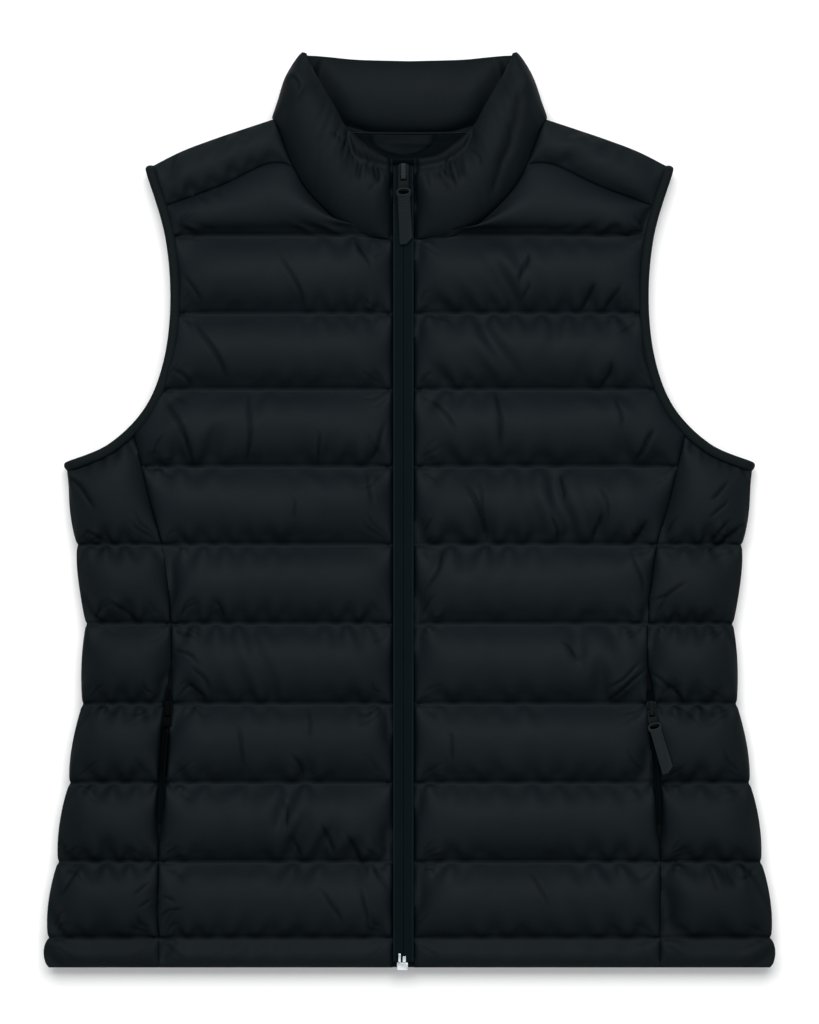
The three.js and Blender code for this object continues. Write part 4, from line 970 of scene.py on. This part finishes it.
def back_panel():
    lines = [HEM_EDGE, *QUILT_LINES]
    rows_y = np.concatenate([lerp(a, b, np.linspace(0, 1, 15)[:-1]) for a, b in zip(lines, lines[1:])])
    u = np.linspace(0, 1, 40) ** 0.8
    half = plan(back_half_x(rows_y)[:, None] * u[None], rows_y[:, None])
    t = np.linspace(0, 1, 20)
    base_y = QUILT_LINES[-1]
    bottom = plan(back_half_x(np.array(base_y)) * u, base_y)
    neck = offset_line(smooth_line(BACK_NECK), 2 * SEAM_GAP)
    outline = np.vstack([neck[::-1], shoulder_edge])
    top = along(outline, u)
    armhole_y = lerp(base_y, armhole_seam[0][1], t)
    inner = plan(0.0, lerp(base_y, top[0][1], t))
    crown_part = coons(bottom, top, inner, plan(x_at(armhole_seam, armhole_y), armhole_y))
    half = np.vstack([half, crown_part])
    full = np.hstack([half[:, :0:-1] * [-1, 1], half])
    borders = (full[:, :1], full[:, -1:], full[:1], full[-1:])
    edge = np.min([np.linalg.norm(full - border, axis=2) for border in borders], axis=0)
    lift = BACK_EDGE_LIFT * (1 - climb(edge, BACK_EDGE_REACH))
    near = np.abs(full[..., 1:] - np.array(QUILT_LINES)[None, None]).min(2)
    groove = BACK_GROOVE * bell(near, BACK_GROOVE_REACH)
    under = np.dstack([full, np.maximum(lift, groove)])
    over = np.dstack([full, np.full_like(lift, BACK_THICKNESS)])
    points, faces = double_grid(over, under)
    # Painted shade on the back's upper face, which lies under the fronts; its border rows are left unshaded
    shaded = np.full_like(lift, BACK_SHADE)
    shaded[[0, -1]] = 0
    shaded[:, [0, -1]] = 0
    piece = add_mesh("back_cloth", points, faces, shell, replaced=["back"], folds_and_painted_shade=shaded)


# Collar

COLLAR_CREASES = [
    ((358, 163), (357, 183), 2.2, 3.0),
    ((375, 166), (377, 184), 2.8, 3.4),
    ((368, 194), (378, 184), 1.6, 3.0),
    ((366, 160), (369, 178), 1.6, 2.6),
    ((384, 170), (386, 186), 1.4, 2.6),
    ((435, 173), (450, 196), 2.4, 3.0),
    ((441, 168), (456, 190), 2.4, 3.0),
    ((444, 160), (448, 174), 2.2, 2.6),
    ((453, 157), (459, 182), 2.4, 3.2),
    ((424, 172), (428, 190), 1.5, 2.8),
    ((470, 150), (482, 171), 1.8, 3.0),
    ((329, 134), (351, 151), 1.4, 3.6),
    ((342, 150), (356, 162), 1.2, 3.0),
]
COLLAR_FOLDS = [
    ((516, 96), (511, 134), 1.6, 7.0),
    ((512, 126), (498, 168), 1.9, 7.0),
    ((501, 156), (489, 196), 1.5, 6.0),
    ((370, 166), (379, 186), 1.6, 4.4),
]
GATHER_LINE = [(-46, 283), (-44.6, 274.6), (-38, 263.4), (-14.6, 257), (1, 256), (21, 259.6), (31, 263),
               (41.6, 271.6), (47, 283)]
COLLAR_FRONT_LENGTH = 150.0
ZIP_DROP_REACH = (1.2, 4.5)
# The fold at the collar's sides: its reach outwards, its radius and its height, at the seam and above it
COLLAR_FOOT = (0.8, 4.5, 11.5)
COLLAR_FULL = (COLLAR_RADIUS, COLLAR_RADIUS, 14.15)
COLLAR_TOP_NARROW = 0.34
COLLAR_END_REACH = 9.0
# The collar's inner cloth at the back of the neck: how it rounds up, and dips under the front's edge
INNER_CROWN = 8.0
INNER_SINK = 1.0
INNER_DIP = 5.0
INNER_DIP_REACH = 9.0
LEAST_COLLAR = 0.8
COLLAR_FRONT_Z = 17.0
GATHER_DEPTH = 2.4
GATHER_WIDTH = 2.4
GATHER_SPREAD = 10.0
GATHER_SPARE = 0.080
GATHER_FROM_ZIP = (18.0, 16.0)
COLLAR_SPARE = 0.004
COLLAR_DARKEST = 0.8
UP = np.array([0.0, 0.0, 1.0])


def collar_edge(side):
    return smooth_line([(zip_edge(side), COLLAR_TOP_Y), *COLLAR_EDGE])


def collar_half_thickness(v, from_zip):
    full = COLLAR_SEAM_HALF + COLLAR_PADDING * puff(v)
    return lerp(COLLAR_SEAM_HALF, full, climb(from_zip, COLLAR_END_REACH))


def collar_fold(v):
    grow = smoothstep(v, 0, 0.75)
    narrow = lerp(1, COLLAR_TOP_NARROW, smoothstep(v, 0.55, 1))
    across, radius, height = (lerp(foot, full, grow) for foot, full in zip(COLLAR_FOOT, COLLAR_FULL))
    return across * narrow, radius, height


def collar_faces(middle, normal, half):
    """Outer and inner face of one section, each from the seam to the edge."""
    outer = middle + normal * half[:, None]
    inner = middle - normal * half[:, None]
    if normal[2] > 0.9:
        inner[:, 2] = np.maximum(inner[:, 2], FRONT_BASE)
    elif normal[2] < -0.9:
        inner[:, 2] = np.minimum(inner[:, 2], BACK_THICKNESS - SEAM_GAP)
    outer[:, 2] = np.maximum(outer[:, 2], 0)
    return outer, inner


def collar_front(side, v, radius, z, edge):
    """Sections from the zip to the side of the neck, drawn in beside the zip."""
    seam = neck_seam(side)
    sections = []
    for part in np.linspace(0, 0.94, 100):
        from_zip = part * COLLAR_FRONT_LENGTH
        flat = lerp(along(seam, part)[None], along(edge, part)[None], v[:, None])
        middle = np.column_stack([flat, z + radius])
        outer, inner = collar_faces(middle, UP, collar_half_thickness(v, max(0, from_zip - ZIP_MARGIN)))
        outer[:, 2] -= ZIP_DROP * (1 - smoothstep(from_zip, *ZIP_DROP_REACH))
        sections.append((outer, inner))
    return sections


def collar_turn(v, across, radius, z):
    """Sections round the fold at the side of the neck."""
    seam, top = np.array(COLLAR_SIDE_SEAM, float), np.array(COLLAR_SIDE_EDGE, float)
    run = top - seam
    outward = np.array([run[1], -run[0], 0]) / np.linalg.norm(run)
    half = collar_half_thickness(v, np.inf)
    flat = lerp(seam[None], top[None], v[:, None])
    sections = []
    for angle in np.radians(np.linspace(90, -90, 19)):
        middle = np.column_stack([flat[:, 0] + COLLAR_BULGE * np.sin(np.pi * v), flat[:, 1], z])
        middle += outward * (across * (math.cos(angle) - 1) - half)[:, None]
        middle[:, 2] += radius * math.sin(angle)
        sections.append(collar_faces(middle, outward * math.cos(angle) + UP * math.sin(angle), half))
    return sections


def collar_back(v, radius, z, edge):
    """Sections along the back of the neck, whose inner cloth rounds up inside the opening."""
    seam, top = smooth_line(BACK_NECK), smooth_line(COLLAR_BACK_EDGE)
    sections = []
    for part in np.linspace(0.1, 0.98, 46):
        flat = lerp(along(seam, part)[None], along(top, part)[None], v[:, None])
        middle = np.column_stack([flat, z - radius])
        outer, inner = collar_faces(middle, -UP, collar_half_thickness(v, np.inf))
        gap = np.linalg.norm(inner[:, None, :2] - edge[None], axis=2).min(1)
        round_top = middle[:, 2] - INNER_SINK + INNER_CROWN * np.sin(np.pi * np.clip(v, 0, 1)) ** 0.8
        inner[:, 2] = lerp(inner[:, 2], round_top, smoothstep(part, 0.1, 0.3))
        inner[:, 2] -= INNER_DIP * bell(gap, INNER_DIP_REACH) * smoothstep(part, 0.1, 0.2)
        inner[:, 2] = np.maximum(inner[:, 2], outer[:, 2] + LEAST_COLLAR)
        sections.append((outer, inner))
    return sections


def collar_sections(side):
    """Outer and inner faces of half the collar, from the zip round the fold to the middle of the back."""
    v = np.linspace(0, 1, 44)
    v = lerp(v, 0.5 - 0.5 * np.cos(np.pi * v), 0.4)
    across, radius, z = collar_fold(v)
    edge = collar_edge(side)
    sections = collar_front(side, v, radius, z, edge) + collar_turn(v, across, radius, z)
    sections += collar_back(v, radius, z, edge)
    return np.array([outer for outer, inner in sections]), np.array([inner for outer, inner in sections])


def gathered(outer, side, seed):
    """Lets the collar's outer cloth pucker along its gather line."""
    points = outer.swapaxes(0, 1).copy()
    gather = smooth_line(GATHER_LINE, 120) * [side, 1]
    gaps = np.linalg.norm(points[..., None, :2] - gather[None, None], axis=3).min(2)
    front = points[..., 2] > COLLAR_FRONT_Z
    points[..., 2] -= GATHER_DEPTH * bell(gaps, GATHER_WIDTH) * front
    pinned = (gaps < 0.9) & front
    pinned[0] = pinned[-1] = True
    pinned[:, 0] = pinned[:, -1] = True
    most, spread = GATHER_FROM_ZIP
    beside_zip = bell(np.abs(points[..., 0] - side * ZIP_X) - most, spread)
    spare = COLLAR_SPARE + GATHER_SPARE * bell(gaps, GATHER_SPREAD) * beside_zip * front
    tucks = crease_strength(points, side, COLLAR_CREASES) * front / 2
    return settle(points, pinned, spare, tucks, seed, STEPS // 2).swapaxes(0, 1)


def rolled_band(points, side):
    """The smooth strip that rolls inwards between the gather line and the collar's edge."""
    gather = smooth_line(GATHER_LINE, 120)
    x, y = side * points[..., 0], points[..., 1]
    above = y - np.interp(x, gather[:, 0], gather[:, 1])
    return smoothstep(above, 0, 3) * (1 - smoothstep(np.abs(x), 40, 47))


def collar_outer_shade(settled, side, front):
    """Painted shade on the outer cloth: in its creases, on its rolled strip and beside the zip."""
    folds_and_painted_shade = crease_strength(settled, side, COLLAR_CREASES, 0.3)
    folds_and_painted_shade += crease_strength(settled, side, COLLAR_FOLDS, 0.3)
    folds_and_painted_shade = folds_and_painted_shade * COLLAR_CREASE_SHADE + ROLL_SHADE * rolled_band(settled, side)
    folds_and_painted_shade = np.clip(COLLAR_SHADE + folds_and_painted_shade * front, 0, COLLAR_DARKEST)
    beside_zip = 1 - smoothstep(np.abs(settled[..., 0] - side * ZIP_X), 9.8, 13.0)
    return np.maximum(folds_and_painted_shade, ZIP_SHADE * beside_zip * (settled[..., 2] > COLLAR_FRONT_FLOOR))


def collar_inner_shade(inner, side):
    """Painted shade on the inner cloth: under the front's edge, low at its seam and near its top."""
    under = np.linalg.norm(inner[:, :, None, :2] - collar_edge(side)[None, None], axis=3).min(2)
    up = np.linspace(0, 1, inner.shape[1])[None]
    inside = COLLAR_SHADE + 0.65 * bell(under, 4.5) + 0.6 * (1 - smoothstep(up, 0.08, 0.34))
    return np.clip(inside + 0.25 * smoothstep(up, 0.6, 1), 0, COLLAR_DARKEST)


def collar_rings(side, seed):
    outer, inner = collar_sections(side)
    settled = gathered(outer, side, seed)
    front = settled[..., 2] > COLLAR_FRONT_Z
    settled[..., 2] -= 0.5 * crease_strength(settled, side, COLLAR_CREASES, 0.42) * front
    settled[..., 2] -= crease_strength(settled, side, COLLAR_FOLDS, 0.6) * front
    settled[..., 2] = np.where(front, np.maximum(settled[..., 2], inner[..., 2] + 0.5), settled[..., 2])
    shades = [collar_outer_shade(settled, side, front), collar_inner_shade(inner, side)[:, ::-1]]
    rings = np.concatenate([settled, inner[:, ::-1]], axis=1) * [side, 1, 1]
    return rings, np.concatenate(shades, axis=1)


def collar_piece():
    left, left_painted_shade = collar_rings(1, 11)
    right, right_painted_shade = collar_rings(-1, 12)
    rings = np.concatenate([left, right[::-1]])
    folds_and_painted_shade = np.concatenate([left_painted_shade, right_painted_shade[::-1]])
    count, size = rings.shape[:2]
    random = np.random.default_rng(11)
    crumple = wavy(random, (count, size), 2.2, (9, 26)) * 0.3
    crumple += wavy(random, (count, size), 2.2, (22, 40)) * 0.5
    place = np.arange(size) % (size // 2)
    ease = np.minimum(place, size // 2 - 1 - place)
    rings[..., 2] += crumple * np.clip(ease / 4, 0, 1) * (rings[..., 2] > 2)
    rings[..., 2] = np.clip(rings[..., 2], 0.2, None)
    piece = add_mesh("collar_cloth", rings.reshape(-1, 3), tube_faces(count, size), shell,
                     replaced=["collar"], smooth_angle=75, folds_and_painted_shade=folds_and_painted_shade)


# Armhole bindings

BINDING_CORNERS = 20
BINDING_ROUND = 0.7
BINDING_RIPPLE = 0.28
BINDING_SEWN = 0.35


def binding_stations():
    """Centre, direction across, lift and half thickness round the tape's loop: front, end, back and end."""
    middle = offset_line(armhole_edge, -BINDING_WIDTH / 2)
    (front_z, front_half), (back_z, back_half) = BINDING_FRONT, BINDING_BACK
    first, last = BINDING_ENDS
    turn = np.linspace(75, -75, 11)
    path = [(part, 90, 1) for part in np.linspace(first, last, 150)]
    path += [(last, degrees, 1) for degrees in turn]
    path += [(part, -90, 1) for part in np.linspace(last, first, 60)]
    path += [(first, degrees, -1) for degrees in turn[::-1]]
    stations = []
    for part, degrees, reach in path:
        angle = math.radians(degrees)
        direction = along(middle, min(1, part + 0.01)) - along(middle, max(0, part - 0.01))
        direction /= np.linalg.norm(direction)
        lift = np.array([*(direction * math.cos(angle) * reach), math.sin(angle)])
        across = np.array([-direction[1], direction[0], 0])
        centre = np.array([*along(middle, part), (front_z + back_z) / 2]) + lift * (front_z - back_z) / 2
        half = lerp(back_half, front_half, degrees / 180 + 0.5)
        stations.append((centre, across, lift / np.linalg.norm(lift), half))
    return stations


def binding(name, side, seed):
    stations = binding_stations()
    random = np.random.default_rng(seed)
    count, size = len(stations), BINDING_CORNERS
    corners = np.linspace(0, 2 * np.pi, size, endpoint=False)
    wide = np.sign(np.cos(corners)) * np.abs(np.cos(corners)) ** BINDING_ROUND * BINDING_WIDTH / 2
    high = np.sign(np.sin(corners)) * np.abs(np.sin(corners)) ** BINDING_ROUND
    sewn = np.where((np.sin(corners) > 0.5) & (np.cos(corners) < -0.3), BINDING_SEWN, 0)
    ripple = np.convolve(random.normal(0, 1, count + 6), np.ones(7) / 7, "valid")[:count] * BINDING_RIPPLE
    rings = []
    for (centre, across, lift, half), swell in zip(stations, ripple):
        height = high * (half + swell) - sewn
        rings.append((centre + across * wide[:, None] + lift * height[:, None]) * [side, 1, 1])
    faces = tube_faces(count, size, True)
    if side < 0:
        faces = [face[::-1] for face in faces]
    piece = add_mesh(name + "_cloth", np.array(rings).reshape(-1, 3), faces, trim,
                     replaced=[name], smooth_angle=80)


# Thin cloth

def thin_sheet(name, grid, thickness, material, folds_and_painted_shade):
    """Closed thin body in a node's place: a grid of outer points and the same points lower down."""
    points, faces = double_grid(grid, grid - [0, 0, thickness])
    return add_mesh(name + "_cloth", points, faces, material, replaced=[name], smooth_angle=60,
                    folds_and_painted_shade=folds_and_painted_shade)


LINING_OUTLINE = ((253, 262, 270, 276, 282.2), (24, 30.5, 36.5, 41, 46))
LINING_PATCH = ((-5.3, 282.5), (26.0, 17.2))
FACING_STEP = 0.9
PIPING_HALF_WIDTH = 50.0
PIPING_PLACE = (283.4, 14.9)
PIPING_RADIUS = 0.75
GUARD_HALF_WIDTH = 7.8
# Painted shade on the guard, in the slot behind the slider
GUARD_SHADE = 0.6
GUARD_PROFILE = [(226, 16.7), (240, 16.7), (252, 16.7), (259, 18.2), (260.6, 19.8), (262.2, 20.9),
                 (263.2, 21.2), (264.2, 20.8), (264.6, 19.4), (264.3, 18.0), (263.2, 16.9), (262.4, 16.4),
                 (262, 16.1)]


def neck_lining():
    """Lining seen through the neck, under a facing that leaves a patch of it open."""
    heights, reaches = LINING_OUTLINE
    y = lerp(heights[0], heights[-1], np.linspace(0, 1, 68))[:, None]
    x = np.interp(y, heights, reaches) * np.linspace(-1, 1, 160)[None]
    random = np.random.default_rng(21)
    folds_and_painted_shade = wavy(random, x.shape, 0.55, (7, 22)) * 0.7 + wavy(random, x.shape, 0.55, (4, 9)) * 0.3
    z = FRONT_BASE + 1.0 + np.clip(folds_and_painted_shade, -0.6, 1) * 0.6 + 0.3
    z += 1.1 * bell(y - 276 + 0.05 * x, 2.2) * bell(x - 6, 16)
    (middle, top), (across, down) = LINING_PATCH
    patch = np.hypot((x - middle) / across, (top - y) / down)
    facing = smoothstep(patch, 0.96, 1.04)
    z += FACING_STEP * facing
    # Painted shade: a dark rim round the open patch, the facing around it, and the hollows of the lining's
    # folds
    shade = np.maximum(0.97 * bell(patch - 0.93, 0.10), np.maximum(0.76 * facing, 0.45 * np.clip(-folds_and_painted_shade, 0, 1)))
    grid = np.dstack([x, np.broadcast_to(y, x.shape), z])
    piece = thin_sheet("neck_lining", grid, 0.8, lining, shade)


def neck_piping():
    """Piping along the collar's seam at the back of the neck."""
    angles = np.linspace(0, 2 * np.pi, 8, endpoint=False)
    circle = np.column_stack([np.zeros(8), np.cos(angles), np.sin(angles)]) * PIPING_RADIUS
    seam_y, seam_z = PIPING_PLACE
    rings = []
    for x in np.linspace(-PIPING_HALF_WIDTH, PIPING_HALF_WIDTH, 60):
        rings.append(np.array([x, seam_y + 0.6 * (x / PIPING_HALF_WIDTH) ** 2, seam_z]) + circle)
    add_mesh("neck_piping", np.array(rings).reshape(-1, 3), tube_faces(len(rings), 8), trim)


def zip_guard():
    """Facing behind the zip, whose rolled top shows above the slider."""
    profile = np.array(GUARD_PROFILE, float)
    x = np.linspace(-GUARD_HALF_WIDTH, GUARD_HALF_WIDTH, 30)
    bend = 0.5 * (x / GUARD_HALF_WIDTH) ** 2
    grid = np.zeros((len(profile), len(x), 3))
    grid[..., 0] = x[None] + ZIP_X
    grid[..., 1] = profile[:, :1] + bend[None] * np.linspace(0, 1, len(profile))[:, None]
    grid[..., 2] = profile[:, 1:]
    fine = finer(grid, 3)
    piece = thin_sheet("zip_guard", fine, 0.7, lining, np.full(fine.shape[:2], GUARD_SHADE))


def zip_tapes():
    """Two tapes that meet over the hidden teeth, each with a low ridge over them and a woven edge."""
    y = np.linspace(TAPE_BOTTOM, TAPE_TOP, 420)
    for name, sign in (("zip_tape_left", 1), ("zip_tape_right", -1)):
        u = np.linspace(0, 1, 17)
        x = TAPE_MIDDLE_GAP / 2 + u * TAPE_WIDTH
        woven_edge = bell(x - 7.1, 0.5)
        crown = 0.35 * bell(x - 1.6, 1.3) + 0.5 * woven_edge
        # Painted shade over the tape, left off its woven edge
        folds_and_painted_shade = np.tile(TAPE_SHADE * (1 - woven_edge), (len(y), 1))
        ripple = 0.10 * np.sin(y / 2.9) + 0.08 * np.sin(y / 7.3 + sign)
        grid = np.zeros((len(y), len(x), 3))
        grid[..., 0] = ZIP_X + sign * x[None]
        grid[..., 1] = y[:, None]
        grid[..., 2] = TAPE_Z + TAPE_THICKNESS - 0.35 + crown[None] + ripple[:, None] * u[None]
        if sign < 0:
            grid, folds_and_painted_shade = grid[:, ::-1], folds_and_painted_shade[:, ::-1]
        thin_sheet(name, grid, 0.9, tape, folds_and_painted_shade)


def pocket_tapes():
    y = np.linspace(POCKET_TAPE_BOTTOM, POCKET_TAPE_TOP, 80)
    for name, side in (("pocket_tape_left", 1), ("pocket_tape_right", -1)):
        u = np.linspace(-1, 1, 11)
        centre = side * x_at(princess_seam, y)
        grid = np.zeros((len(y), len(u), 3))
        grid[..., 0] = centre[:, None] + u[None] * POCKET_TAPE_HALF_WIDTH
        grid[..., 1] = y[:, None]
        grid[..., 2] = POCKET_TAPE_Z + TAPE_THICKNESS - 0.5 * bell(u[None], 0.12)
        # Painted shade: the tape lies deep in the pocket's slit
        thin_sheet(name, grid, 1.0, tape, np.full(grid.shape[:2], MOUTH_TAPE_SHADE))


# Stitching

def stitches(name, lines, pitch=2.9, share=0.66, radius=0.24, rise=0.16):
    """Short threads end to end along lines of points on the cloth."""
    points, faces = [], []
    for line in lines:
        reach = np.concatenate([[0], np.cumsum(np.linalg.norm(np.diff(line, axis=0), axis=1))])
        count = int(reach[-1] / pitch)
        for index in range(count):
            ends = np.array([index + (1 - share) / 2, index + (1 + share) / 2]) * pitch
            a, b = (np.array([np.interp(end, reach, line[:, axis]) for axis in range(3)]) for end in ends)
            direction = (b - a) / np.linalg.norm(b - a)
            across = np.cross(direction, [0, 0, 1])
            across /= np.linalg.norm(across)
            over = np.cross(across, direction)
            start = len(points)
            for part, size in ((0, 0.45), (0.25, 1), (0.75, 1), (1, 0.45)):
                centre = lerp(a, b, part) + [0, 0, rise * math.sin(math.pi * part) - 0.05]
                for angle in (0, 90, 180, 270):
                    swing = math.radians(angle)
                    ray = across * math.cos(swing) + over * math.sin(swing)
                    points.append(centre + ray * radius * size)
            faces += [[start + face for face in quad] for quad in tube_faces(4, 4)]
    add_mesh(name, np.array(points), faces, thread_finish, smooth_angle=80)


# Hard parts keep their solids' form, with softened edges

# Node, the body that it rides on, its finish, its slot and the width of its softened edges
HARDWARE = [
    ("zip_slider", "vest", "dark_metal", "dark_metal", 0.2),
    ("zip_link", "front_pull", "dark_metal", "dark_metal", 0.2),
    ("pocket_slider_left", "vest", "dark_metal", "dark_metal", 0.2),
    ("pocket_link_left", "pocket_pull", "dark_metal", "dark_metal", 0.2),
    # The right pocket's slider, link and tab take the darker copy, as painted shade in the slit
    ("pocket_slider_right", "vest", "painted_shade_metal", "dark_metal", 0.2),
    ("pocket_link_right", "vest", "painted_shade_metal", "dark_metal", 0.2),
    ("zip_box", "vest", "bright_metal", "bright_metal", 0.25),
    ("zip_pin_left", "vest", "bright_metal", "bright_metal", 0.25),
    ("zip_pin_right", "vest", "bright_metal", "bright_metal", 0.25),
    ("zip_tab", "front_pull", "pull_tab", "pull_tab", 0.45),
    ("pocket_tab_left", "pocket_pull", "pull_tab", "pull_tab", 0.45),
    ("pocket_tab_right", "vest", "painted_shade_metal", "pull_tab", 0.45),
]


def softened(node, body, material, width):
    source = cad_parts[node]
    mesh = source.data.copy()
    mesh.materials.clear()
    mesh.materials.append(material)
    piece = new_object(node + "_finished", mesh)
    mesh.polygons.foreach_set("use_smooth", [True] * len(mesh.polygons))
    mesh.polygons.foreach_set("material_index", [0] * len(mesh.polygons))
    mesh.set_sharp_from_angle(angle=math.radians(35))
    weld = piece.modifiers.new("weld", "WELD")
    weld.merge_threshold = 0.00001
    bevel = piece.modifiers.new("edges", "BEVEL")
    bevel.width = width * MM
    bevel.segments = 2
    bevel.limit_method = "ANGLE"
    bevel.angle_limit = math.radians(40)
    bevel.harden_normals = True
    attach(piece, body)
    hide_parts(node)


def tab_ribs():
    """Moulded lines across the front pull's tab, under its ring."""
    points, faces = [], []
    angles = np.linspace(0, 2 * np.pi, 8, endpoint=False)
    for y, radius in TAB_RIBS:
        top = TAB_TOP[1] - TAB_SLOPE * (TAB_TOP[0] - y)
        start = len(points)
        for x in np.linspace(-3.7, 3.7, 12):
            swell = radius * math.sqrt(1 - (x / 4.2) ** 2)
            points += [(ZIP_X + x, y + swell * math.cos(a), top + swell * 0.8 * math.sin(a)) for a in angles]
        faces += [[start + corner for corner in face] for face in tube_faces(12, 8)]
    add_mesh("zip_tab_ribs", np.array(points), faces, finishes["pull_tab"], body="front_pull")


def hardware():
    tab_ribs()
    for node, body, finish, slot_name, width in HARDWARE:
        softened(node, body, finishes[finish], width)


# Room, light and camera

def area_light(name, place, target, width, height, power):
    data = bpy.data.lights.new(name, "AREA")
    data.shape = "RECTANGLE"
    data.size, data.size_y = width, height
    data.energy = power
    light = new_object(name, data)
    light.location = place
    light.rotation_euler = (Vector(target) - Vector(place)).to_track_quat("-Z", "Y").to_euler()


def studio():
    floor_mesh = bpy.data.meshes.new("floor")
    reach = 6.0
    corners = [(-reach, -reach, 0), (reach, -reach, 0), (reach, reach, 0), (-reach, reach, 0)]
    floor_mesh.from_pydata(corners, [], [(0, 1, 2, 3)])
    floor = new_object("floor", floor_mesh)
    material, nodes, links, shader = new_material("floor")
    shader.inputs["Base Color"].default_value = (0.9, 0.9, 0.9, 1)
    shader.inputs["Roughness"].default_value = 0.9
    shader.inputs["Specular IOR Level"].default_value = 0.1
    floor_mesh.materials.append(material)
    world = bpy.data.worlds.new("room")
    bpy.context.scene.world = world
    world.use_nodes = True
    world.node_tree.nodes["Background"].inputs["Color"].default_value = (0.95, 0.98, 1.0, 1)
    world.node_tree.nodes["Background"].inputs["Strength"].default_value = 0.26
    area_light("key", (-0.1, 1.25, 2.1), (0, 0.0, 0), 2.4, 1.7, 78)
    area_light("fill", (0.3, -1.3, 2.6), (0, -0.2, 0), 2.4, 1.6, 26)


def camera():
    distance = 3.0
    data = bpy.data.cameras.new("camera")
    data.sensor_width = 36
    data.lens = 36 * distance / (1024 * MM_PER_PIXEL * MM)
    data.clip_end = 20
    view = new_object("camera", data)
    view.location = (0, (PHOTO_MIDDLE[1] - 512) * MM_PER_PIXEL * MM, distance + 0.014)
    view.rotation_euler = (0, 0, 0)
    bpy.context.scene.camera = view


camera()
studio()
bpy.context.scene.view_settings.view_transform = "Standard"
back_panel()
panels = (("front_", front_panel, 0), ("side_", side_panel, SIDE_SHADE), ("yoke_", yoke_panel, 0))
seam_lines = []
for panel_name, sign, seed in (("left", 1, 3), ("right", -1, 4)):
    for part, make, shade in panels:
        seam_lines += panel_piece(part + panel_name, sign, shade, *make(sign, seed))[1:-1]
    binding("binding_" + panel_name, sign, seed + 30)
stitches("quilting_stitches", seam_lines)
collar_piece()
neck_lining()
neck_piping()
zip_guard()
zip_tapes()
pocket_tapes()
hardware()
